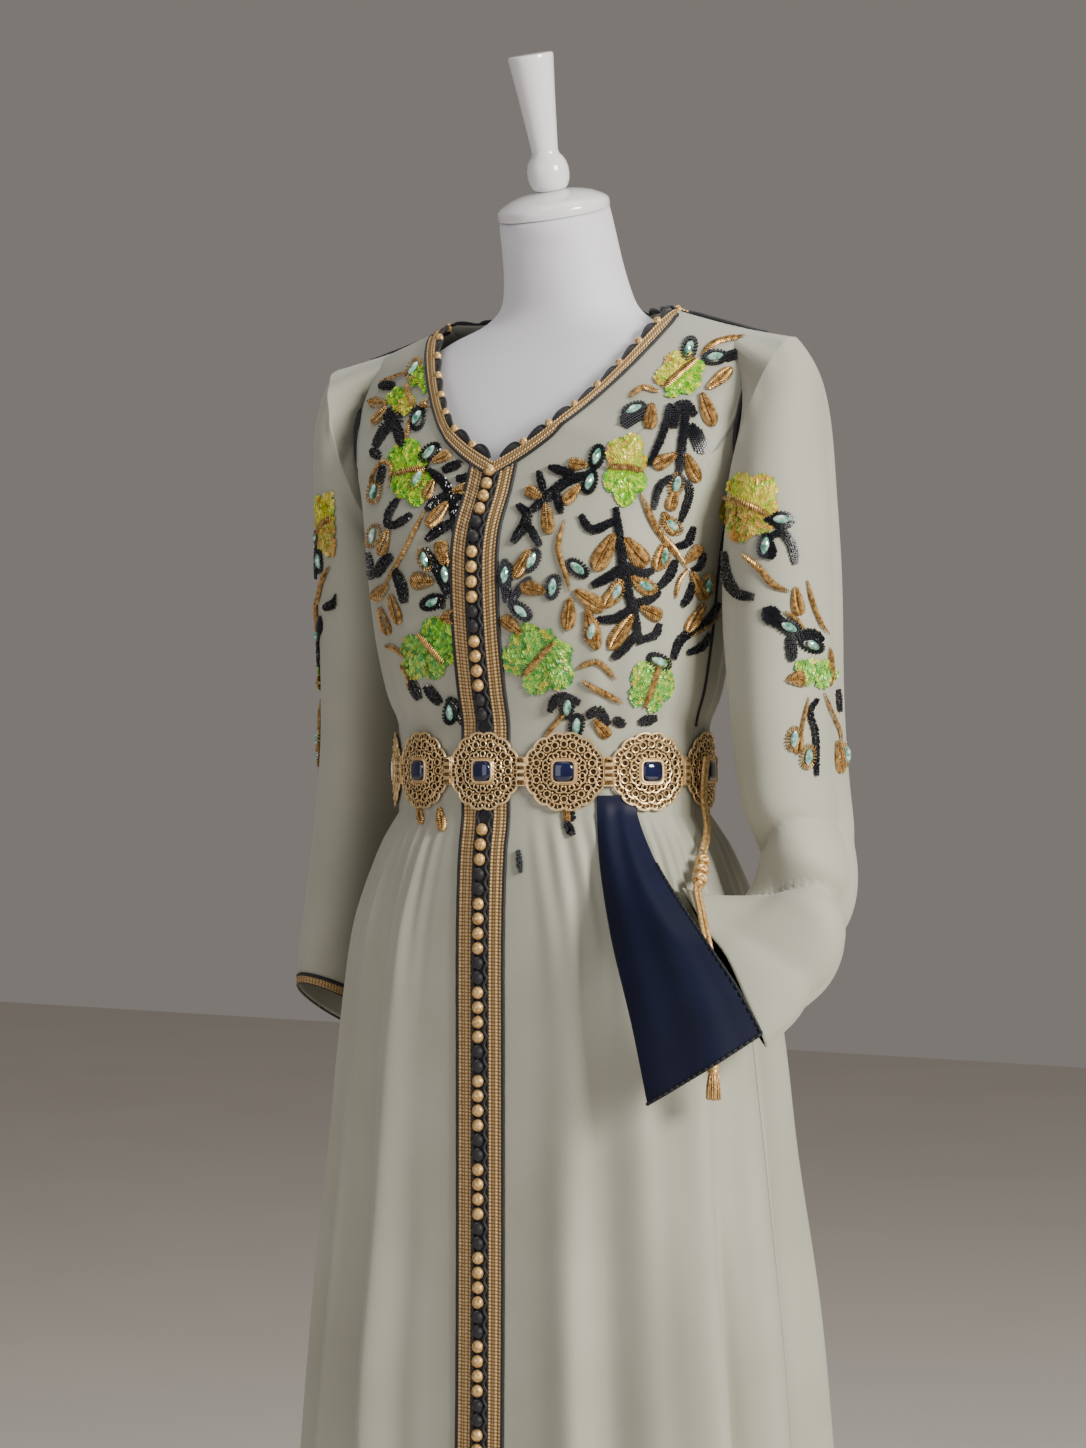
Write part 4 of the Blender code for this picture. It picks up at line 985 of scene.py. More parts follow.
# %% Ball buttons
def ball_button(name, look, radius):
    """A thread ball: eight raised ribs from pole to pole, a little flattened, modelled by hand."""
    deselect()
    bpy.ops.mesh.primitive_uv_sphere_add(segments=16, ring_count=10, radius=radius)
    obj = bpy.context.object
    obj.name = obj.data.name = name
    bpy.ops.object.mode_set(mode="EDIT")
    bpy.ops.mesh.select_all(action="SELECT")
    bpy.ops.transform.resize(value=(1, 0.8, 1))
    bpy.ops.object.mode_set(mode="OBJECT")
    bpy.ops.object.transform_apply(location=True, rotation=True, scale=True)
    for v in obj.data.vertices:
        a = math.atan2(v.co.y, v.co.x)
        v.co *= 1.0 + 0.05 * math.cos(8 * a) * (1 - abs(v.co.z) / radius)
    obj.data.materials.append(look)
    obj.data.shade_smooth()
    return obj


def placed(model, name, places, look):
    """One mesh from copies of a model; each place is a matrix."""
    vertices = [v.co.copy() for v in model.data.vertices]
    polygons = [tuple(p.vertices) for p in model.data.polygons]
    points, faces = [], []
    for m in places:
        start = len(points)
        points += [m @ v for v in vertices]
        faces += [tuple(i + start for i in f) for f in polygons]
    made = add_mesh(name, points, faces, look)
    return made


gold_ball = ball_button("gold_ball_model", thread_gold, 0.0053)
black_ball = ball_button("black_ball_model", black_cord, 0.0050)
golds, blacks = [], []
for k, (p, run) in enumerate(seats):
    if BELT_LOW - 0.004 < p.z < BELT_HIGH + 0.004 or p.z < HEM_Z + 0.012:
        continue
    n = Vector((0, -1, 0)) - run * Vector((0, -1, 0)).dot(run)
    place = Matrix.Translation(p + n.normalized() * 0.0046) @ Matrix.Rotation(0.8 * (k % 3), 4, "Y")
    (golds if k % 6 < 4 else blacks).append(place)
placed(gold_ball, "gold_ball_buttons", golds, thread_gold)
placed(black_ball, "black_ball_buttons", blacks, black_cord)
for model in (gold_ball, black_ball):
    bpy.data.objects.remove(model, do_unlink=True)
print("gold and black buttons:", len(golds), len(blacks))

# %% [markdown]
# ## Neckline
# The same gold tape follows the neckline's edge in front and behind, with black piping on its outer
# side. Inside it, a black scalloped crochet edging stands up from the edge, with a gold picot
# between each two scallops. The scallops are a wavy cord and a narrow web under it.

# %% Neckline braids
neck_lines = {}
for label, columns in (("right", rights[:9 * FINE + 1]), ("left", lefts[:9 * FINE + 1]),
                       ("back", backs[10 * 7:22 * 7 + 1])):
    inner = [c[-4] for c in columns]
    outer = [c[-4].lerp(c[-1], 0.97) for c in columns]
    # Even steps along the edge keep the braid's ribs even.
    a, b = paired(inner, outer, 0.003)
    neck_lines[label] = (a, b)
    tape("woven_neck_braid_" + label, a, b, braid_gold, BRAID_SECTION, 0.0005, 0.013,
         "neck_braid_" + label)
    outside = [p - (q - p).normalized() * 0.0010 for p, q in zip(a, b)]
    cord_along("piping_neck_" + label, off_cloth(outside, b, 0.0010), 0.0016, black_cord, twist=900, lobes=0.12)


# %% Scalloped edging
def edging(label, a, b, picots):
    """Scallops 20 mm long that stand 8 mm proud of the neckline's edge, with a gold picot between two."""
    web, line, golds = [], [], []
    gone = last = 0.0
    for k, (p, q) in enumerate(zip(a, b)):
        if k:
            gone += (q - b[k - 1]).length
        away = (q - p).normalized()
        turn = gone / 0.027 % 1
        wave = math.sin(math.pi * min(1.0, turn / 0.74)) ** 0.7
        out = 0.0018 + 0.0066 * wave
        web.append((q - away * 0.001, q + away * out))
        line.append(q + away * out)
        if picots and last < 0.87 <= turn:
            golds.append(q + away * 0.0032)
        last = turn
    points = []
    for low, high in web:
        points += [low, high]
    faces = [(2 * k, 2 * k + 1, 2 * k + 3, 2 * k + 2) for k in range(len(web) - 1)]
    sheet = add_mesh("scallop_web_" + label, points, faces, black_cord)
    wall = sheet.modifiers.new("wall", "SOLIDIFY")
    wall.thickness, wall.offset = 0.0014, 0
    bpy.context.view_layer.objects.active = sheet
    bpy.ops.object.modifier_apply(modifier="wall")
    cord_along("scallop_cord_" + label, line, 0.0013, black_cord, sides=6)
    return golds


picots = []
for label in ("right", "left", "back"):
    a, b = neck_lines[label]
    skip = 6 if label != "back" else 0
    fine_a, fine_b = paired(a[skip:], b[skip:], 0.0012)
    picots += edging(label, fine_a, fine_b, label != "back")
bump = ball_button("picot_model", thread_gold, 0.0040)
placed(bump, "gold_picots", [Matrix.Translation(p) for p in picots], thread_gold)
bpy.data.objects.remove(bump, do_unlink=True)
print("gold picots:", len(picots))

# %% [markdown]
# ## Seam piping
# A thick black cord covers each armhole seam and each side seam. It fills the narrow gap between the
# armhole's edge and the sleeve's head.

# %% Armhole and side-seam piping
for x_sign, fronts, label in ((1, lefts, "left"), (-1, rights, "right")):
    loop = armhole_edge(x_sign, fronts, backs)
    middle = sum(loop, Vector()) / len(loop)
    ring = [p + (p - middle).normalized() * 0.0004 - Vector((x_sign * 0.0010, 0, 0)) for p in evenly(loop, 160)]
    ring.append(ring[0])
    cord_along("piping_armhole_" + label, ring, 0.0026, black_cord, twist=700, lobes=0.10)
    seam = [p.lerp(q, 0.5) for p, q in zip(fronts[-1], backs[0 if x_sign > 0 else -1])]
    upper = [p + Vector((x_sign, 0, 0)) * 0.0006 for p in seam[SKIRT_ROWS + 1:]]
    cord_along("piping_side_" + label, denser(upper, 0.003), 0.0014, black_cord)
    lower = [p + Vector((x_sign, 0, 0)) * 0.0002 for p in seam[:SKIRT_ROWS + 1]]
    cord_along("seam_thread_" + label, denser(lower, 0.006), 0.0006, crepe, sides=6)
print("seams piped")

# %% [markdown]
# ## The belt
# Eleven cast filigree plates are joined by ribbed links. Each plate is modelled once, flat, in
# millimetres of length along the belt and height across it, and then bent round the waist by one
# function that turns a length, a height and a lift into a point of the belt's line.

# %% The belt's line round the waist
ring_points = []
for k in range(720):
    turn = 2 * math.pi * k / 720
    behind = math.pi / 2 < turn < 1.5 * math.pi
    ring_points.append(on_cloth(1 if math.sin(turn) >= 0 else -1, math.asin(abs(math.sin(turn))), BELT_LOW, behind))
ring_gone = [0.0]
for k in range(720):
    ring_gone.append(ring_gone[-1] + (ring_points[(k + 1) % 720] - ring_points[k]).length)
AROUND = ring_gone[-1]
MEDALLIONS, LINK_WIDTH, BELT_OFF = 11, 0.009, 0.0019
PITCH = AROUND / MEDALLIONS


def on_belt(s, z, out):
    s = s % AROUND
    lo, hi = 0, 720
    while hi - lo > 1:
        mid = (lo + hi) // 2
        lo, hi = (mid, hi) if ring_gone[mid] <= s else (lo, mid)
    t = (s - ring_gone[lo]) / (ring_gone[lo + 1] - ring_gone[lo])
    p = ring_points[lo].lerp(ring_points[(lo + 1) % 720], t)
    along = ring_points[(lo + 3) % 720] - ring_points[(lo - 2) % 720]
    n = Vector((-along.y, along.x, 0)).normalized()
    n = -n if n.dot(p) < 0 else n
    return Vector((p.x + n.x * out, p.y + n.y * out, z))


def bent(name, flat, middle, look, label=None):
    """Bend flat points (along, across, lift) with their faces round the waist."""
    points, faces = flat
    obj = add_mesh(name, [on_belt(middle + x, WAIST_Z + y, BELT_OFF + z) for x, y, z in points], faces, look)
    mend(obj)
    obj.data.set_sharp_from_angle(angle=math.radians(45))
    if label:
        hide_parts(label)
    return obj


print("belt length in mm:", round(AROUND * 1000), "one plate every", round(PITCH * 1000, 1))

# %% [markdown]
# ## One filigree plate
# The real plate is cast from a wax of bent wires: a lobed rim, a second wavy wire inside it, rows of
# small rings, and beads round a square setting. So wires and rings are what is modelled here, over a
# thin plate that lies deep enough to read as the shadow behind the openings.

# %% Wires and rings
def wire(path, radius, lift, sides=6):
    points, faces = [], []
    count = len(path)
    for k, (x, y) in enumerate(path):
        ax, ay = path[(k + 1) % count]
        bx, by = path[k - 1]
        run = Vector((ax - bx, ay - by, 0)).normalized()
        side = Vector((run.y, -run.x, 0))
        for s in range(sides):
            a = 2 * math.pi * s / sides
            q = Vector((x, y, lift)) + side * (radius * math.cos(a)) + Vector((0, 0, radius * math.sin(a)))
            points.append(tuple(q))
    for k in range(count):
        n = (k + 1) % count
        for s in range(sides):
            t = (s + 1) % sides
            faces.append((k * sides + s, k * sides + t, n * sides + t, n * sides + s))
    return points, faces


def model_of(obj):
    out = [tuple(v.co) for v in obj.data.vertices], [tuple(p.vertices) for p in obj.data.polygons]
    bpy.data.objects.remove(obj, do_unlink=True)
    return out


def add_to(flat, part, x=0.0, y=0.0, z=0.0, size=1.0):
    points, faces = part
    start = len(flat[0])
    flat[0].extend((px * size + x, py * size + y, pz * size + z) for px, py, pz in points)
    flat[1].extend(tuple(i + start for i in f) for f in faces)


deselect()
bpy.ops.mesh.primitive_torus_add(major_radius=0.0027, minor_radius=0.00062, major_segments=12, minor_segments=5)
small_ring = model_of(bpy.context.object)
deselect()
bpy.ops.mesh.primitive_ico_sphere_add(subdivisions=1, radius=0.00115)
grain_bead = model_of(bpy.context.object)

HALF_W, HALF_H = PITCH / 2 - 0.0014, 0.0335
LOBES = 14


def lobed(share, waves_deep, count=112, phase=0.0):
    path = []
    for k in range(count):
        a = 2 * math.pi * k / count
        r = share * (1 - waves_deep + waves_deep * abs(math.cos(LOBES / 2 * a + phase)) ** 0.6)
        path.append((HALF_W * r * math.cos(a), HALF_H * r * math.sin(a)))
    return path


plate = ([], [])
add_to(plate, wire(lobed(0.985, 0.07), 0.00105, 0.0017))
add_to(plate, wire(lobed(0.83, 0.10, 84, 0.3), 0.00075, 0.0020, 5))
add_to(plate, wire(lobed(0.55, 0.12, 70), 0.00070, 0.0026, 5))
RING_ROWS = ((0.885, 28, 0.78, 0.0018, 0.5), (0.69, 20, 1.05, 0.0023, 0.0), (0.44, 14, 0.86, 0.0030, 0.5))
for share, count, size, lift, offset in RING_ROWS:
    for k in range(count):
        a = 2 * math.pi * (k + offset) / count
        add_to(plate, small_ring, HALF_W * share * math.cos(a), HALF_H * share * math.sin(a), lift, size)
for share, count, lift in ((0.79, 28, 0.0026), (0.60, 20, 0.0032)):
    for k in range(count):
        a = 2 * math.pi * (k + 0.5) / count
        add_to(plate, grain_bead, HALF_W * share * math.cos(a), HALF_H * share * math.sin(a), lift, 0.85)


# %% The square setting
def rounded_square(half, power=5.0, count=40):
    out = []
    for k in range(count):
        a = 2 * math.pi * k / count
        c, s = math.cos(a), math.sin(a)
        r = half / (abs(c) ** power + abs(s) ** power) ** (1 / power)
        out.append((r * c, r * s))
    return out


add_to(plate, wire(rounded_square(0.0092), 0.0011, 0.0042))
add_to(plate, wire(rounded_square(0.0107), 0.0008, 0.0032, 5))
for k, (x, y) in enumerate(rounded_square(0.0126, 4.0, 26)):
    add_to(plate, grain_bead, x, y, 0.0034, 0.95)
# The back plate is a dark sheet of painted shadow behind the openings.
back_plate = ([], [])
rim = lobed(0.93, 0.05, 84)
for z in (0.0, 0.0009):
    back_plate[0].extend((x, y, z) for x, y in rim)
    back_plate[0].append((0, 0, z))
for k in range(84):
    n = (k + 1) % 84
    back_plate[1].extend([(k, n, 85 + n, 85 + k), (84, n, k), (169, 85 + k, 85 + n)])
print("one plate has", len(plate[1]), "faces")

# %% [markdown]
# ## Stone and link
# The stone is a square cabochon: a cube whose edges are all bevelled round, flattened to 4 mm. The
# link is a small hinge block: a plate with its rim inset and three ribs extruded out of it.

# %% Stone and link models
deselect()
bpy.ops.mesh.primitive_cube_add(size=0.0164)
obj = bpy.context.object
bpy.ops.object.mode_set(mode="EDIT")
bpy.ops.mesh.select_all(action="SELECT")
bpy.ops.mesh.bevel(offset=0.0058, segments=6)
bpy.ops.transform.resize(value=(1, 1, 0.40), center_override=(0, 0, 0))
bpy.ops.object.mode_set(mode="OBJECT")
stone_model = model_of(obj)

deselect()
bpy.ops.mesh.primitive_cube_add(size=1.0)
obj = bpy.context.object
bpy.ops.object.mode_set(mode="EDIT")
bpy.ops.mesh.select_all(action="SELECT")
bpy.ops.transform.resize(value=(LINK_WIDTH - 0.0004, 0.0245, 0.0016), center_override=(0, 0, 0))
bpy.ops.mesh.select_all(action="DESELECT")
bpy.ops.mesh.select_mode(type="FACE")
bpy.ops.object.mode_set(mode="OBJECT")
for face in obj.data.polygons:
    face.select = face.normal.z > 0.9
bpy.ops.object.mode_set(mode="EDIT")
bpy.ops.mesh.inset(thickness=0.0009, depth=-0.0004)
bpy.ops.mesh.subdivide(number_cuts=6)
bpy.ops.object.mode_set(mode="OBJECT")
for face in obj.data.polygons:
    row = int((face.center.y + 0.01225) / 0.0245 * 7)
    face.select = face.normal.z > 0.9 and abs(face.center.x) < 0.0033 and row % 2 == 1 and face.center.z > -0.0002
bpy.ops.object.mode_set(mode="EDIT")
bpy.ops.mesh.extrude_region_move(TRANSFORM_OT_translate={"value": (0, 0, 0.0013)})
bpy.ops.transform.resize(value=(0.9, 0.9, 1), center_override=(0, 0, 0))
bpy.ops.object.mode_set(mode="OBJECT")
soft = obj.modifiers.new("soft", "BEVEL")
soft.width, soft.segments, soft.limit_method = 0.0002, 2, "ANGLE"
bpy.ops.object.modifier_apply(modifier="soft")
link_model = model_of(obj)
print("stone and link faces:", len(stone_model[1]), len(link_model[1]))


# %% Put the belt together
# The dark brown plate under each filigree plate is painted shadow: the openwork has no backing, and only shade shows
# through its openings.
painted_shadow_backing = finish("painted_shadow_behind_openings", "#4A3416", 0.6, 0.6)
mottle(painted_shadow_backing, speckle(painted_shadow_backing, 200.0), (0.3, "#2E1F0C"), (0.7, "#644821"))


def moved(flat, z):
    return [(x, y, pz + z) for x, y, pz in flat[0]], flat[1]


for m in range(MEDALLIONS):
    middle = m * PITCH
    label = f"{m + 1:02d}"
    bent("filigree_plate_" + label, plate, middle, gilt, "belt_medallion_" + label)
    # Dark backing plate: painted shadow behind the openings.
    bent("plate_back_" + label, back_plate, middle, painted_shadow_backing, None)
    bent("square_stone_" + label, moved(stone_model, 0.0046), middle, glass, "belt_stone_" + label)
    bent("ribbed_link_" + label, moved(link_model, 0.0030), middle + PITCH / 2, gilt,
         "belt_link_" + label)
print("belt pieces:", 4 * MEDALLIONS)

# %% [markdown]
# ## The right cuff
# The straight sleeve ends in the same gold tape, with a black cord along both of its edges. The tape
# is a closed ring here, so its section is carried round the sleeve's last rows.

# %% Cuff braid
ring_a, ring_b = right_rings[-4], right_rings[-1]
centre = sum(ring_b, Vector()) / SIDES
points, uvs, gone = [], [], 0.0
for k in range(SIDES + 1):
    a, b = ring_a[k % SIDES], ring_b[k % SIDES]
    if k:
        gone += (b - ring_b[k - 1]).length
    away = (a + b) / 2 - centre
    away = (away - (b - a).normalized() * away.dot((b - a).normalized())).normalized()
    for share, height in BRAID_SECTION:
        points.append(a.lerp(b, share) + away * (0.0006 + height))
        uvs.append((share * 0.0145, gone))
faces = ring_faces(SIDES + 1, len(BRAID_SECTION), ends=False)
cuff = add_mesh("woven_cuff_braid", points, faces, braid_gold, uvs)
mend(cuff, 1e-6)
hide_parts("cuff_braid")


def ring_cord(name, ring, out):
    middle = sum(ring, Vector()) / len(ring)
    line = [p + (p - middle).normalized() * out for p in ring]
    return cord_along(name, line + [line[0]], 0.0014, black_cord, twist=700, lobes=0.1)


ring_cord("cuff_piping_upper", [a + (a - b).normalized() * 0.0008 for a, b in zip(ring_a, ring_b)], 0.0012)
ring_cord("cuff_piping_lower", [b + (b - a).normalized() * 0.0006 for a, b in zip(ring_a, ring_b)], 0.0006)
print("cuff braid around in mm:", round(gone * 1000))

# %% [markdown]
# ## The turned-out lining
# A wide tongue of navy satin hangs in front of the left hip, between the belt and the sleeve's mouth.
# Its edge is given row by row, and two slow folds and a belly give it its drape. A dark overcast
# thread runs along its lower hem and its right edge.

# %% Lining
LINING = [
    (0.0974, -0.0882, 1.020, 0.1232, -0.0653, 1.020),
    (0.0980, -0.0890, 1.000, 0.1262, -0.0680, 1.000),
    (0.1105, -0.105, 0.958, 0.160, -0.090, 0.958),
    (0.134, -0.126, 0.901, 0.220, -0.122, 0.905),
    (0.157, -0.133, 0.834, 0.248, -0.118, 0.866),
    (0.172, -0.133, 0.770, 0.262, -0.104, 0.830),
]
OUT_WAY = Vector((0.45, -0.89, 0))
lining_columns = []
for i in range(49):
    u = i / 48
    line = []
    for k in range(81):
        v = k / 80
        row = catmull(LINING, v)
        p = Vector(row[0:3]).lerp(Vector(row[3:6]), u)
        belly = 0.012 * math.sin(math.pi * u) * smooth(v * 1.6) + 0.0008 * math.sin(math.pi * u)
        crease = 0.0022 * math.sin(9.5 * u + 1.6 * v) * smooth(v * 3) * math.sin(math.pi * min(1, u * 1.15))
        line.append(p + OUT_WAY * (belly + crease + 0.0006))
    lining_columns.append(line)
lining = grid_sheet("navy_cuff_lining", lining_columns, satin, 0.0012, flip=True)
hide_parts("cuff_lining")
hem = [c[-1] for c in lining_columns]
edge = lining_columns[-1]
edge_thread = []
for line in (hem, edge[30:]):
    fine = denser(line, 0.0012)
    edge_thread.append([p + OUT_WAY * 0.0009 * math.sin(k * 1.3) - Vector((0, 0, 0.0004)) * (k % 2)
                        for k, p in enumerate(fine)])
navy_cord = finish("black_overcast_thread", "#06080F", 0.7)
mottle(navy_cord, speckle(navy_cord, 500.0), (0.3, "#04050A"), (0.7, "#0C101C"))
cord_along("lining_hem_thread", edge_thread[0], 0.0016, navy_cord, sides=6)
cord_along("lining_edge_thread", edge_thread[1], 0.0013, navy_cord, sides=6)
print("lining height in mm:", round(length_of(edge) * 1000))

# %% [markdown]
# ## Knots and tassel
# The knots are wound turns of the same cord: three tilted rings, each a third of a turn from the last,
# make one round knot. The tassel is a wound head with a skirt of separate threads.

# %% Knots
deselect()
bpy.ops.mesh.primitive_torus_add(major_radius=0.0050, minor_radius=0.0019, major_segments=28, minor_segments=8)
turn_model = model_of(bpy.context.object)
to_run = Vector((0, 0, 1)).rotation_difference(KNOT_RUN).to_matrix().to_4x4()
knots = ([], [])
for height in (0.0065, 0.0190, 0.0310):
    for k in range(3):
        m = (Matrix.Translation(KNOT_TOP + KNOT_RUN * height) @ to_run @ Matrix.Rotation(2 * math.pi * k / 3, 4, "Z")
             @ Matrix.Rotation(math.radians(34), 4, "X"))
        add_to(knots, ([tuple(m @ Vector(p)) for p in turn_model[0]], turn_model[1]))
knot_piece = add_mesh("wound_knots", knots[0], knots[1], thread_gold)
core_line = [KNOT_TOP - KNOT_RUN * 0.0005 + KNOT_RUN * (0.0385 * k / 20) for k in range(21)]
cord_along("knot_core", core_line, 0.0036, thread_gold, twist=500, lobes=0.15)
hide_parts("cord_knots")

# %% Tassel
TASSEL = Vector((0.2120, -0.094, 0.7715))
random.seed(4)
threads = ([], [])
for k in range(54):
    a, far = 2.4 * k, 0.0062 * math.sqrt((k + 0.5) / 54)
    top = TASSEL + Vector((0.0035 * math.cos(a) * far / 0.0062, 0.0035 * math.sin(a) * far / 0.0062, 0.0235))
    low = TASSEL + Vector((far * math.cos(a), far * math.sin(a), random.uniform(0.0, 0.0015)))
    line = [top.lerp(low, t) + Vector((math.cos(a), math.sin(a), 0)) * 0.0009 * math.sin(math.pi * t)
            for t in (0, 0.25, 0.5, 0.75, 1)]
    for t, p in enumerate(line):
        for s in range(4):
            b = math.pi / 2 * s
            threads[0].append(tuple(p + Vector((0.00055 * math.cos(b), 0.00055 * math.sin(b), 0))))
    start = len(threads[0]) - 20
    for t in range(4):
        for s in range(4):
            n = (s + 1) % 4
            threads[1].append((start + 4 * t + s, start + 4 * t + n, start + 4 * t + 4 + n, start + 4 * t + 4 + s))
    threads[1].extend([(start + 3, start + 2, start + 1, start), (start + 16, start + 17, start + 18, start + 19)])
tassel = mend(add_mesh("tassel_threads", threads[0], threads[1], thread_gold))
HEAD = [(0.0036, 0.0), (0.0048, 0.0010), (0.0052, 0.0028), (0.0046, 0.0042), (0.0052, 0.0056), (0.0050, 0.0074),
        (0.0038, 0.0088), (0.0026, 0.0095)]
head = turned("tassel_head", HEAD, 24, thread_gold, TASSEL + Vector((0, 0, 0.0213)), Vector((0, 0, 1)))
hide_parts("cord_tassel")
for cord, line, label in hanging:
    far = "object" if label.startswith("belt") else "tool"
    start = line[0]
print("cords declared:", len(hanging))

# %% [markdown]
# ## Embroidery: where it sits
# The embroidery is couched by hand on the bodice and the sleeves. Each motif is given by a few
# points as the camera sees them, in the photograph's pixels, and every bead, sequin and wire of it is
# dropped from there onto the cloth by a ray, so that it follows the body. The shapes themselves are
# plain flowers, leaves and twigs, drawn by rule. The finished work is then also mirrored.

# %% Rays onto the cloth
def tree_of(*objs):
    points, faces = [], []
    for obj in objs:
        start = len(points)
        points += [v.co.copy() for v in obj.data.vertices]
        faces += [tuple(i + start for i in p.vertices) for p in obj.data.polygons]
    return BVHTree.FromPolygons(points, faces)


neck_points = [(p + q) / 2 for a, b in neck_lines.values() for p, q in zip(a, b)]
neck_tree = KDTree(len(neck_points))
for k, p in enumerate(neck_points):
    neck_tree.insert(p, k)
neck_tree.balance()
cloth_tree = tree_of(panel_left, panel_right, panel_back, sleeve_left, sleeve_right)
UP = Vector((0, 0, 1))


def seen(px, py):
    """The point and normal of the cloth under a pixel, or None."""
    ray = (FORWARD + RIGHT * ((px - 543) / FOCAL_PX) + UP * ((724 - py) / FOCAL_PX)).normalized()
    point, normal, _, _ = cloth_tree.ray_cast(EYE, ray)
    if point is None:
        return None
    if normal.dot(ray) > 0:
        normal = -normal
    return (point, normal) if abs(normal.dot(ray)) > 0.16 else None


def frame_at(px, py, dx, dy):
    """A frame on the cloth: x along the pixel direction (dx, dy), z off the cloth."""
    hit = seen(px, py)
    if hit is None:
        return None
    point, normal = hit
    # Nothing is sewn over the front trim or the neckline's braid.
    if (abs(point.x) < 0.0245 and point.y < 0) or neck_tree.find(point)[2] < 0.0085:
        return None
    along = RIGHT * dx - UP * dy
    along -= normal * along.dot(normal)
    if along.length < 1e-5:
        return None
    along.normalize()
    return Matrix((along, normal.cross(along), normal)).transposed().to_4x4(), point, normal


class Heap:
    """Collects the points and faces of many small things of one finish."""

    def __init__(self):
        self.points, self.faces, self.dyes = [], [], []

    def put(self, matrix, model, colour=None):
        start = len(self.points)
        self.points += [matrix @ Vector(p) for p in model[0]]
        self.faces += [tuple(i + start for i in f) for f in model[1]]
        self.dyes += [colour] * len(model[0])


def path_of(stops, step):
    """Points about step pixels apart on a smooth curve through the stops, with directions."""
    if len(stops) == 2:
        stops = [stops[0], ((stops[0][0] + stops[1][0]) / 2, (stops[0][1] + stops[1][1]) / 2), stops[1]]
    rough = [catmull(stops, k / 60) for k in range(61)]
    out, want, gone = [], 0.0, 0.0
    for a, b in zip(rough, rough[1:]):
        size = math.hypot(b[0] - a[0], b[1] - a[1])
        while size > 0 and want <= gone + size:
            t = (want - gone) / size
            dx, dy = b[0] - a[0], b[1] - a[1]
            out.append((a[0] + dx * t, a[1] + dy * t, dx / size, dy / size))
            want += step
        gone += size
    return out, gone

# %% [markdown]
# ## The small models
# Thousands of them are set, so each has only a few faces: a sequin is a cupped seven-sided disc, a
# seed bead a ball drawn into a six-sided barrel, a bullion stitch a bent five-sided wire. Only the
# crystal is cut finer.

# %% Sequin, bead, stitch and crystal
deselect()
bpy.ops.mesh.primitive_circle_add(vertices=7, radius=0.0021, fill_type="TRIFAN")
obj = bpy.context.object
for v in obj.data.vertices:
    v.co.z = 0.0005 if v.co.length > 0.001 else 0.0
obj.data.update()
bpy.ops.object.mode_set(mode="EDIT")
bpy.ops.mesh.select_all(action="SELECT")
bpy.ops.mesh.extrude_region_move(TRANSFORM_OT_translate={"value": (0, 0, 0.00025)})
bpy.ops.mesh.select_all(action="SELECT")
bpy.ops.mesh.normals_make_consistent(inside=False)
bpy.ops.object.mode_set(mode="OBJECT")
sequin_model = model_of(obj)

deselect()
bpy.ops.mesh.primitive_uv_sphere_add(segments=6, ring_count=3, radius=0.00122, rotation=(0, math.pi / 2, 0))
obj = bpy.context.object
bpy.ops.object.transform_apply(location=True, rotation=True, scale=True)
for v in obj.data.vertices:  # the ends are drawn in towards the bore, so that the ball turns into a barrel
    v.co.x *= 0.56 if abs(v.co.x) > 0.001 else 1.05
bead_model = model_of(obj)


def stitch_model(length, radius, rise):
    """A wire that arches along x, from -length/2 to length/2."""
    points, faces = [], []
    sides, steps = 5, 4
    for k in range(steps + 1):
        t = k / steps
        x, z = length * (t - 0.5), rise * math.sin(math.pi * t) ** 0.7
        slim = 0.62 + 0.38 * math.sin(math.pi * t)
        for s in range(sides):
            a = 2 * math.pi * s / sides
            points.append((x, radius * slim * math.cos(a), z + radius * slim * math.sin(a)))
    for k in range(steps):
        for s in range(sides):
            n = (s + 1) % sides
            faces.append((k * sides + s, (k + 1) * sides + s, (k + 1) * sides + n, k * sides + n))
    faces += [tuple(range(sides)), tuple(range(steps * sides, steps * sides + sides))[::-1]]
    return points, faces


def navette(length, width, high):
    """A pointed oval crystal: a flat table, two rows of facets and a girdle."""
    points, faces = [], []
    sides = 12
    for share, z in ((1.0, 0.0), (1.0, 0.25), (0.72, 0.75), (0.42, 1.0)):
        for k in range(sides):
            a = 2 * math.pi * (k + 0.5 * (share < 1)) / sides
            pinch = abs(math.sin(a)) ** 1.25
            across = width / 2 * share * math.copysign(pinch, math.sin(a))
            points.append((length / 2 * share * math.cos(a), across, high * z))
    for row in range(3):
        for k in range(sides):
            n = (k + 1) % sides
            a = row * sides
            faces += [(a + k, a + n, a + sides + k), (a + n, a + sides + n, a + sides + k)]
    faces += [tuple(range(sides))[::-1], tuple(range(3 * sides, 4 * sides))]
    return points, faces


crystal_model = navette(0.0145, 0.0072, 0.0034)
print("faces in a sequin, bead, crystal:", len(sequin_model[1]), len(bead_model[1]), len(crystal_model[1]))

# %% [markdown]
# ## How each motif is worked
# A flower is filled with sequins in overlapping rows, ring by ring in another dye. A bar of bullion
# ties its two halves, which have dyes of their own. A leaf has a midrib and slanting stitches on both
# sides. A gold stem is one stitch after another across its line, like a rope; a black twig is packed
# with beads.

# %% Motifs
random.seed(7)
sequins, beads, golds, stones = Heap(), Heap(), Heap(), Heap()
PX = 0.00088  # metres to a pixel at the kaftan
GREENS = {"green": ["#4E9A1E", "#6DB51F", "#8CC728", "#3F8A2A", "#A9D23A"],
          "lime": ["#8FCB12", "#B4DC1E", "#6FBF1A", "#D3E23A", "#5FB01C"],
          "yellow": ["#D8DC3C", "#C9C432", "#E3D653", "#A7C92E", "#CFA23A"],
          "mint": ["#57A843", "#7FBF4E", "#A4CC4A", "#4C9440", "#B8B93E"],
          "amber": ["#C9B040", "#A9B03A", "#C58E3C", "#8FA83C", "#D8C25A"]}


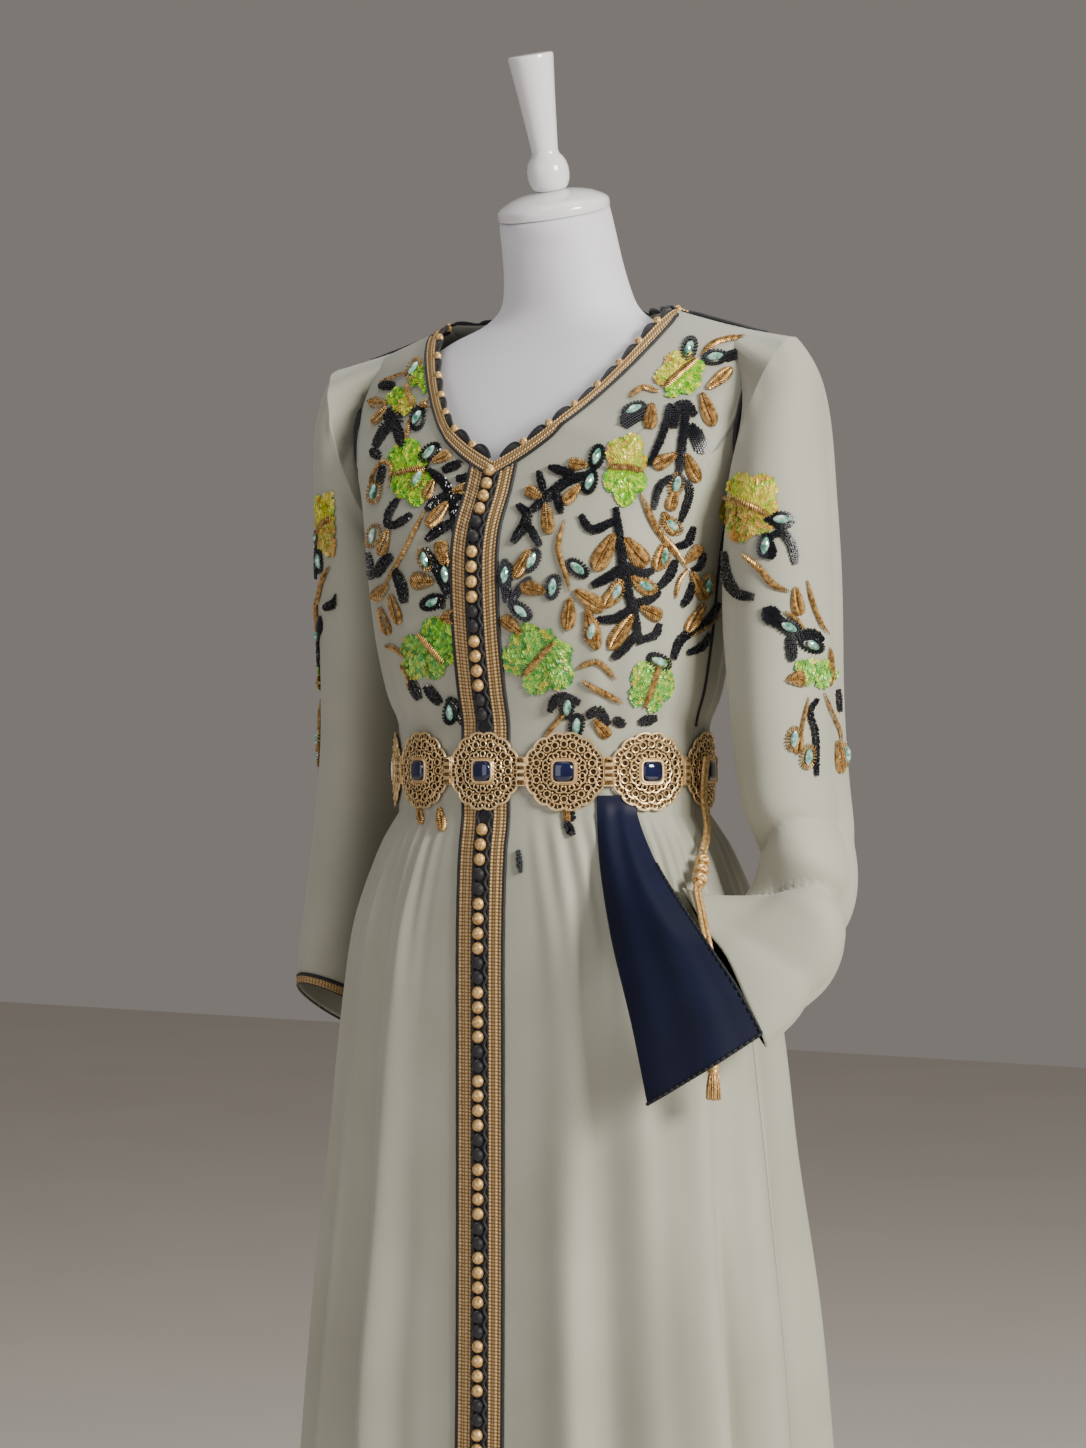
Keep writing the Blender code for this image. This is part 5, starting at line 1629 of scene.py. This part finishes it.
def lay(heap, px, py, dx, dy, model, lift, colour=None, tilt=0.0, size=1.0):
    at = frame_at(px, py, dx, dy)
    if at is None:
        return
    turn, point, normal = at
    matrix = Matrix.Translation(point + normal * lift) @ turn
    if tilt:
        matrix = matrix @ Matrix.Rotation(tilt, 4, "X")
    if size != 1.0:
        matrix = matrix @ Matrix.Scale(size, 4)
    heap.put(matrix, model, colour)


def flower(cx, cy, rx, ry, lean, upper, lower, bar, petals=5, depth=0.24):
    """lean is the bar's direction in degrees, anticlockwise from level as the camera sees it; bar is
    the bar's length as a share of the flower's, or 0 for none."""
    c, s = math.cos(math.radians(lean)), math.sin(math.radians(lean))
    step = 2.5
    rows = int(2 * max(rx, ry) / step)
    for row in range(-rows, rows + 1):
        for k in range(-rows, rows + 1):
            u = (k + 0.5 * (row % 2)) * step + random.uniform(-0.5, 0.5)
            v = row * step * 0.9 + random.uniform(-0.5, 0.5)
            a = math.atan2(v / ry, u / rx)
            r = math.hypot(u / rx, v / ry)
            lobe = 1 - depth + depth * abs(math.cos(petals * a / 2 + (0.6 if v < 0 else 0.1))) ** 0.7
            waist = 1 - 0.22 * math.exp(-(v / (0.22 * ry)) ** 2)
            if r > lobe * waist:
                continue
            dyes = GREENS[upper if v > 0 else lower]
            # Rings of one dye show the petals.
            band = int(abs(r / lobe) * 4.2 + 1.3 * math.sin(petals * a)) % len(dyes)
            colour = dyes[band] if random.random() < 0.72 else random.choice(dyes)
            px, py = cx + u * c - v * s, cy - u * s - v * c
            high = 0.0006 + 0.0005 * random.random() + 0.0012 * (1 - r)
            lay(sequins, px, py, math.cos(a), -math.sin(a), sequin_model, high, colour,
                tilt=random.uniform(-0.5, 0.5))
    if bar:
        half = rx * bar
        stops = [(cx - half * c, cy + half * s), (cx + 1.5 * s, cy + 1.5 * c - 3), (cx + half * c, cy - half * s)]
        rope(stops, 9, 0.0022, 0.5)


def rope(stops, width, lift=0.0012, slant=0.62):
    """A gold bar of stitches that lie across the line; width in pixels."""
    line, _ = path_of(stops, 2.1)
    model = stitch_model(width * PX, 0.00092, 0.0019)
    count = len(line)
    for k, (px, py, dx, dy) in enumerate(line):
        end = min(1.0, 0.45 + 2.2 * min(k + 1, count - k) / count)
        # Across the line, turned by the slant.
        ax, ay = -dy * math.cos(slant) + dx * math.sin(slant), dx * math.cos(slant) + dy * math.sin(slant)
        lay(golds, px, py, ax, ay, model, lift, size=end)


def leaf(base, tip, width, lift=0.0009):
    """Slanting stitches on both sides of a midrib; width in pixels."""
    line, _ = path_of([base, tip], 2.3)
    count = len(line)
    for k, (px, py, dx, dy) in enumerate(line):
        t = (k + 0.5) / count
        half = width * 0.66 * math.sin(math.pi * min(1.0, t * 0.92 + 0.10)) ** 0.75
        if half < 1.2:
            continue
        for side in (1, -1):
            ax, ay = dx * 0.72 - dy * side * 0.70, dy * 0.72 + dx * side * 0.70
            mx, my = px + ax * half * 0.52, py + ay * half * 0.52
            lay(golds, mx, my, ax, ay, stitch_model(half * 1.15 * PX, 0.00085, 0.0019), lift)
    rope([base, tip], 2.6, lift + 0.0012, 0.5)


def twig(stops, width, taper=0.5):
    """Black beads packed in rows across a line; width in pixels."""
    line, _ = path_of(stops, 2.1)
    count = len(line)
    across = max(2, round(width / 2.0))
    for k, (px, py, dx, dy) in enumerate(line):
        t = k / max(1, count - 1)
        wide = width * (1 - taper * abs(2 * t - 1) ** 3)
        for n in range(across):
            v = (n + 0.5) / across - 0.5
            turn = random.uniform(-0.9, 0.9)
            c, s = math.cos(turn), math.sin(turn)
            lay(beads, px - dy * v * wide + random.uniform(-0.4, 0.4), py + dx * v * wide + random.uniform(-0.4, 0.4),
                dx * c - dy * s, dy * c + dx * s, bead_model,
                0.0010 + 0.0012 * (1 - abs(2 * v)) + 0.0004 * random.random(), size=1.12)


def dark_leaf(base, tip, width):
    """A leaf of black beads in slanting rows, standing prouder in the middle."""
    line, _ = path_of([base, tip], 2.3)
    count = len(line)
    for k, (px, py, dx, dy) in enumerate(line):
        half = width / 2 * math.sin(math.pi * min(1.0, (k + 0.6) / count * 0.93 + 0.08)) ** 0.7
        n = 0
        while n * 2.1 <= half:
            for side in (1, -1):
                u = n * 2.1
                lay(beads, px + dx * u * 0.6 - dy * side * u, py + dy * u * 0.6 + dx * side * u,
                    dx * 0.75 - dy * side * 0.65, dy * 0.75 + dx * side * 0.65, bead_model,
                    0.0010 + 0.0014 * (1 - u / max(half, 1)), size=1.15)
            n += 1


def gem(px, py, lean, rim):
    """A crystal in two rings of beads, or of gold stitches where the rim is "g"; lean as above."""
    c, s = math.cos(math.radians(lean)), -math.sin(math.radians(lean))
    lay(stones, px, py, c, s, crystal_model, 0.0022)
    count = 20
    for grow in (1.0, 1.26) if rim == "b" else (1.0, 1.22):
        for k in range(count):
            a = 2 * math.pi * k / count
            u = 9.6 * grow * math.cos(a)
            v = 5.6 * grow * math.copysign(abs(math.sin(a)) ** 0.9, math.sin(a))
            qx, qy = px + u * c - v * s, py + u * s + v * c
            tx, ty = -math.sin(a) * c - math.cos(a) * 0.6 * s, -math.sin(a) * s + math.cos(a) * 0.6 * c
            if rim == "b":
                lay(beads, qx, qy, tx, ty, bead_model, 0.0014, size=1.25)
            else:
                lay(golds, qx, qy, c * math.cos(a) - s * math.sin(a), s * math.cos(a) + c * math.sin(a),
                    stitch_model(0.0034, 0.0007, 0.0014), 0.0010)


print("the rules for flower, leaf, stem, twig and crystal are ready")

# %% [markdown]
# ## The embroidery's layout
# The places are read off three enlarged parts of the photograph, so each list gives the corner and
# the enlargement that turn its numbers into photograph pixels. Stems and twigs come first, then the
# leaves, then flowers and crystals on top, in the order in which they are sewn.

# %% Reading a list
def sew(corner, times, ropes=(), leaves=(), twigs=(), dark_leaves=(), flowers=(), gems=()):
    """Sews one part: a row of a stem, leaf or twig is its width and then the x and y of each stop."""
    def stops(row):
        return [(corner[0] + row[k] / times, corner[1] + row[k + 1] / times) for k in range(1, len(row), 2)]

    for row in ropes:
        rope(stops(row), row[0] / times)
    for row in leaves:
        leaf(*stops(row), row[0] / times)
    for row in twigs:
        twig(stops(row), row[0] / times)
    for row in dark_leaves:
        dark_leaf(*stops(row), row[0] / times)
    for x, y, rx, ry, lean, upper, lower, bar in flowers:
        (px, py), = stops((0, x, y))
        flower(px, py, rx / times, ry / times, lean, upper, lower, bar)
    for x, y, lean, rim in gems:
        gem(*stops((0, x, y))[0], lean, rim)


# %% The left front
sew((495, 320), 3.333,
    ropes=[(30, 690, 120, 740, 75, 833, 55), (30, 545, 238, 490, 228, 452, 262),
        (24, 232, 670, 212, 760, 238, 850, 250, 900), (30, 485, 582, 535, 690, 590, 760, 640, 830),
        (24, 280, 1160, 340, 1140, 405, 1200), (26, 293, 1205, 355, 1240, 430, 1275),
        (24, 640, 830, 610, 870, 600, 925), (20, 650, 1055, 700, 1020, 748, 985),
        (20, 170, 1385, 215, 1330, 240, 1300)],
    leaves=[(46, 525, 280, 515, 370), (52, 690, 245, 728, 358), (44, 708, 232, 790, 160),
        (46, 312, 486, 250, 478), (44, 160, 598, 108, 565), (46, 172, 615, 182, 718), (44, 285, 555, 232, 612),
        (50, 605, 448, 525, 490), (48, 636, 448, 678, 542), (44, 603, 560, 578, 640), (64, 398, 712, 332, 836),
        (64, 432, 726, 505, 820), (48, 118, 765, 66, 862), (54, 172, 905, 90, 885), (48, 92, 1045, 22, 992),
        (56, 268, 900, 368, 970), (50, 252, 925, 240, 1038), (52, 308, 965, 340, 1100),
        (50, 425, 866, 365, 955), (50, 452, 855, 530, 912), (56, 458, 982, 380, 1098), (50, 482, 955, 553, 990),
        (48, 560, 745, 535, 838), (44, 628, 808, 688, 755), (48, 650, 838, 700, 938), (52, 692, 948, 632, 1045),
        (44, 330, 1330, 382, 1395), (40, 560, 640, 600, 720)],
    twigs=[(30, 640, 275, 632, 350, 620, 440, 612, 520), (26, 582, 285, 560, 380, 512, 488),
        (34, 596, 360, 604, 300, 640, 285, 668, 320), (26, 610, 520, 552, 550, 528, 628),
        (26, 612, 520, 648, 570, 616, 672), (36, 322, 515, 250, 535, 195, 575, 120, 640),
        (26, 148, 508, 165, 570), (30, 185, 492, 270, 520), (30, 205, 575, 222, 650),
        (36, 80, 620, 110, 660, 60, 745), (28, 110, 680, 155, 758),
        (34, 404, 630, 416, 740, 432, 860, 462, 980, 482, 1080), (30, 288, 655, 325, 700, 400, 668),
        (34, 432, 815, 390, 850, 325, 885), (32, 430, 812, 480, 845, 525, 835),
        (30, 450, 945, 505, 935, 548, 905), (32, 455, 962, 400, 995, 345, 998),
        (32, 470, 1045, 430, 1095, 388, 1130), (28, 482, 1065, 530, 1050, 548, 1012),
        (28, 592, 758, 640, 740, 658, 690), (30, 545, 890, 580, 850, 600, 800),
        (26, 655, 830, 680, 820, 692, 775), (28, 622, 952, 645, 915, 655, 872),
        (32, 742, 945, 700, 1010, 620, 1060, 590, 1130), (26, 640, 1110, 690, 1085, 712, 1045),
        (34, 35, 800, 38, 870, 40, 945), (26, 120, 860, 80, 900, 50, 960),
        (32, 185, 1300, 215, 1255, 285, 1275), (34, 310, 1320, 345, 1300, 378, 1350),
        (36, 400, 1330, 430, 1350), (34, 480, 1340, 540, 1325)],
    dark_leaves=[(54, 658, 350, 695, 448), (56, 500, 300, 420, 350), (40, 760, 130, 812, 112)],
    flowers=[(618, 182, 88, 74, 42, "yellow", "lime", 0.8), (438, 498, 76, 122, -5, "yellow", "lime", 0.8),
        (148, 1130, 112, 130, 48, "mint", "mint", 0.7), (522, 1212, 98, 74, 72, "mint", "mint", 0.8)],
    gems=[(648, 97, 75, "b"), (733, 126, 5, "b"), (464, 302, 25, "b"), (341, 457, 75, "b"), (317, 541, 75, "b"),
        (603, 548, 75, "g"), (587, 684, -35, "g"), (560, 786, 80, "g"), (124, 802, 60, "b"), (36, 850, 80, "b"),
        (276, 828, -38, "b"), (193, 890, 78, "b"), (88, 970, -35, "b"), (404, 905, 68, "g"),
        (500, 886, -25, "g"), (703, 886, 80, "g"), (322, 1036, 78, "g"), (545, 1137, -25, "b"),
        (240, 1288, 85, "b"), (272, 1352, 80, "b")])
print("left front:", len(sequins.points), len(beads.points), len(golds.points))

# %% The right front
sew((355, 350), 3.415,
    ropes=[(22, 90, 112, 135, 95, 190, 75), (30, 178, 120, 190, 165, 212, 200), (24, 190, 240, 178, 310),
        (24, 72, 500, 62, 440, 95, 385, 128, 400, 118, 470), (26, 240, 550, 205, 620, 165, 700, 92, 825),
        (24, 110, 1010, 140, 1020, 172, 1045), (24, 162, 1080, 185, 1110, 188, 1160)],
    leaves=[(40, 115, 185, 50, 178), (40, 112, 200, 62, 252), (44, 225, 195, 285, 178),
        (44, 270, 385, 332, 352), (46, 272, 448, 242, 508), (46, 335, 490, 408, 468), (64, 320, 525, 250, 605),
        (50, 118, 618, 88, 705), (56, 308, 735, 290, 655), (60, 275, 790, 190, 788), (54, 292, 912, 345, 912),
        (50, 125, 835, 155, 940), (50, 118, 800, 60, 850), (48, 90, 880, 118, 975), (46, 320, 700, 345, 745)],
    twigs=[(34, 88, 125, 145, 122), (38, 72, 330, 105, 270, 150, 245, 120, 205),
        (38, 108, 225, 145, 270, 165, 332), (34, 60, 345, 92, 372),
        (34, 245, 405, 305, 455, 335, 520, 350, 660), (32, 305, 412, 370, 385),
        (32, 352, 440, 385, 440, 410, 408), (32, 330, 488, 370, 500, 405, 500),
        (32, 325, 498, 290, 510, 245, 548), (34, 345, 590, 300, 610, 245, 652), (28, 98, 400, 85, 462),
        (28, 148, 512, 118, 560, 112, 605), (28, 112, 602, 150, 595, 198, 560), (28, 48, 695, 62, 785),
        (38, 75, 772, 100, 730, 132, 700), (38, 138, 752, 160, 800, 172, 862),
        (34, 242, 682, 285, 755, 322, 842), (30, 232, 878, 270, 845, 305, 880), (36, 195, 1130, 222, 1192),
        (38, 245, 1150, 292, 1205), (38, 320, 1192, 350, 1220, 372, 1275)],
    flowers=[(240, 100, 46, 58, 60, "lime", "lime", 0), (160, 178, 48, 52, 30, "lime", "yellow", 0),
        (192, 418, 78, 118, 12, "lime", "lime", 0.7), (265, 1022, 96, 128, -48, "green", "mint", 0.7)],
    gems=[(205, 68, 65, "g"), (216, 235, 80, "b"), (258, 352, 40, "b"), (217, 442, 60, "g"), (70, 486, 78, "g"),
        (68, 636, 70, "g"), (243, 716, -65, "g"), (312, 766, -78, "b"), (267, 862, 18, "b"),
        (330, 1236, 80, "b")])
print("right front:", len(sequins.points), len(beads.points), len(golds.points))

# %% The left sleeve and below the belt
sew((700, 440), 4.0,
    ropes=[(34, 172, 458, 240, 515, 290, 575, 355, 605), (28, 425, 565, 450, 660, 480, 735, 512, 778),
        (22, 340, 690, 380, 715, 420, 760), (20, 430, 1030, 412, 1110, 400, 1180, 392, 1255),
        (24, 492, 1015, 520, 1090, 552, 1160, 560, 1215), (64, 512, 845, 522, 910, 520, 975)],
    leaves=[(58, 378, 590, 398, 705), (56, 545, 1205, 562, 1335), (70, 345, 958, 412, 952),
        (40, 400, 1180, 385, 1260)],
    twigs=[(44, 98, 450, 108, 540, 150, 612, 218, 628), (38, 290, 380, 330, 372, 365, 420, 380, 495),
        (46, 362, 780, 366, 885), (44, 392, 790, 440, 775, 485, 800),
        (26, 465, 1038, 438, 1090, 458, 1180, 462, 1340), (22, 548, 1000, 556, 1090)],
    dark_leaves=[(74, 330, 745, 255, 672), (60, 262, 320, 378, 330), (60, 255, 380, 290, 475)],
    flowers=[(196, 266, 126, 146, -22, "yellow", "amber", 0.75), (462, 930, 62, 90, 80, "mint", "mint", 0)],
    gems=[(323, 318, 0, "b"), (262, 422, 78, "b"), (353, 749, -22, "b"), (443, 820, -20, "b"),
        (373, 1196, 80, "g"), (428, 1268, 80, "g"), (577, 1258, 82, "g")])
sew((0, 0), 1.0,
    leaves=[(11, 441, 808, 443, 832), (9, 566, 806, 569, 824), (8, 421, 806, 422, 826)],
    twigs=[(9, 566, 822, 574, 836), (6, 519, 851, 521, 872), (6, 572, 806, 573, 822)])
print("sleeve and skirt:", len(sequins.points), len(beads.points), len(golds.points))

# %% [markdown]
# ## Join, and mirror what the camera can't see
# Each finish becomes one joined mesh. The right sleeve turns its embroidered side away from the
# camera, so the left sleeve's work is mirrored onto it, and each thing is dropped to the nearest cloth.

# %% Joined meshes
def joined(name, heap, look):
    obj = add_mesh(name, heap.points, heap.faces, look, shade=False)
    if heap.dyes and heap.dyes[0]:
        layer = obj.data.color_attributes.new("dye", "FLOAT_COLOR", "POINT")
        cache = {}
        for k, value in enumerate(heap.dyes):
            layer.data[k].color = cache.setdefault(value, dye(value))
    return obj


right_tree = tree_of(sleeve_right)


def mirrored(heap):
    """A copy of what lies on the left sleeve, moved onto the right sleeve."""
    out = Heap()
    graph = bmesh.new()
    shell = add_mesh("mirror_work", heap.points, heap.faces, crepe)
    graph.from_mesh(shell.data)
    seen_verts = set()
    for vert in graph.verts:
        if vert.index in seen_verts:
            continue
        island, stack = [], [vert]
        seen_verts.add(vert.index)
        while stack:
            v = stack.pop()
            island.append(v)
            for e in v.link_edges:
                o = e.other_vert(v)
                if o.index not in seen_verts:
                    seen_verts.add(o.index)
                    stack.append(o)
        centre = sum((v.co for v in island), Vector()) / len(island)
        if centre.x < 0.205 or centre.z < 0.98:
            continue
        spot, normal, _, _ = left_tree.find_nearest(centre)
        flipped = Vector((-spot.x, spot.y, spot.z))
        target, other, _, _ = right_tree.find_nearest(flipped)
        mirror_normal = Vector((-normal.x, normal.y, normal.z))
        if other.dot(mirror_normal) < 0.2 or (target - flipped).length > 0.03:
            continue
        turn = mirror_normal.rotation_difference(other)
        index = {v.index: n for n, v in enumerate(island)}
        model = []
        for v in island:
            q = Vector((-v.co.x, v.co.y, v.co.z)) - flipped
            q.rotate(turn)
            model.append(target + q)
        faces = {f for v in island for f in v.link_faces}
        start = len(out.points)
        out.points += model
        for f in sorted(faces, key=lambda f: f.index):
            out.faces.append(tuple(index[v.index] + start for v in reversed(f.verts)))
        out.dyes += [heap.dyes[v.index] for v in island]
    graph.free()
    bpy.data.objects.remove(shell, do_unlink=True)
    return out


left_tree = tree_of(sleeve_left)
for name, heap, look, slot in (("dyed_sequins", sequins, sequin, "sage_crepe"),
                               ("black_beadwork", beads, black_bead, "black_trim"),
                               ("gold_bullion_work", golds, bullion, "gold_braid"),
                               ("marquise_crystals", stones, crystal, "blue_stone")):
    joined(name, heap, look)
    other = mirrored(heap)
    if other.points:
        joined(name + "_right_sleeve", other, look)
    print(name, "has", len(heap.faces), "faces, and on the other sleeve", len(other.faces))

# %% [markdown]
# Each panel is cut flat and sewn. Here only the lines that run along each sleeve, from its head to
# its mouth, are gathered.


for sleeve, rings, panel in ((sleeve_left, left_rings, panel_left), (sleeve_right, right_rings, panel_right)):
    lines = [[ring[k % SIDES] for ring in rings] for k in range(SIDES + 1)]

# %% [markdown]
# ## Floor and studio light
# The object stands on a plain pale floor in soft light: a large key from the camera's right, as in
# the photograph, a weaker fill from the left, a top light and a pale world.

# %% Floor and lights
deselect()
bpy.ops.mesh.primitive_plane_add(size=14, location=(0, 0, 0))
floor = bpy.context.object
floor.name = "floor"
floor_paint = finish("pale_floor_paint", "#D6D0C8", 0.8)
mottle(floor_paint, speckle(floor_paint, 2.0), (0.3, "#D4CEC6"), (0.7, "#D8D2CA"))
floor.data.materials.append(floor_paint)


def soft_light(name, where, at, size, power, colour):
    data = bpy.data.lights.new(name, "AREA")
    data.shape, data.size, data.energy, data.color = "SQUARE", size, power, dye(colour)[:3]
    light = bpy.data.objects.new(name, data)
    aim = (Vector(at) - Vector(where)).to_track_quat("-Z", "Y")
    light.matrix_world = Matrix.Translation(where) @ aim.to_matrix().to_4x4()
    bpy.context.collection.objects.link(light)


soft_light("key", (3.45, -0.85, 2.3), (0, 0, 1.0), 1.1, 228, "#FFFAF4")
soft_light("fill", (-0.6, -3.6, 1.5), (0, 0, 1.0), 2.4, 30, "#F6F4FF")
soft_light("top", (0.2, -0.3, 3.6), (0, 0, 1.1), 1.6, 24, "#FFFFFF")
world = bpy.data.worlds.new("studio")
bpy.context.scene.world = world
world.use_nodes = True
world.node_tree.nodes["Background"].inputs["Color"].default_value = dye("#D8D0C8")
world.node_tree.nodes["Background"].inputs["Strength"].default_value = 0.30
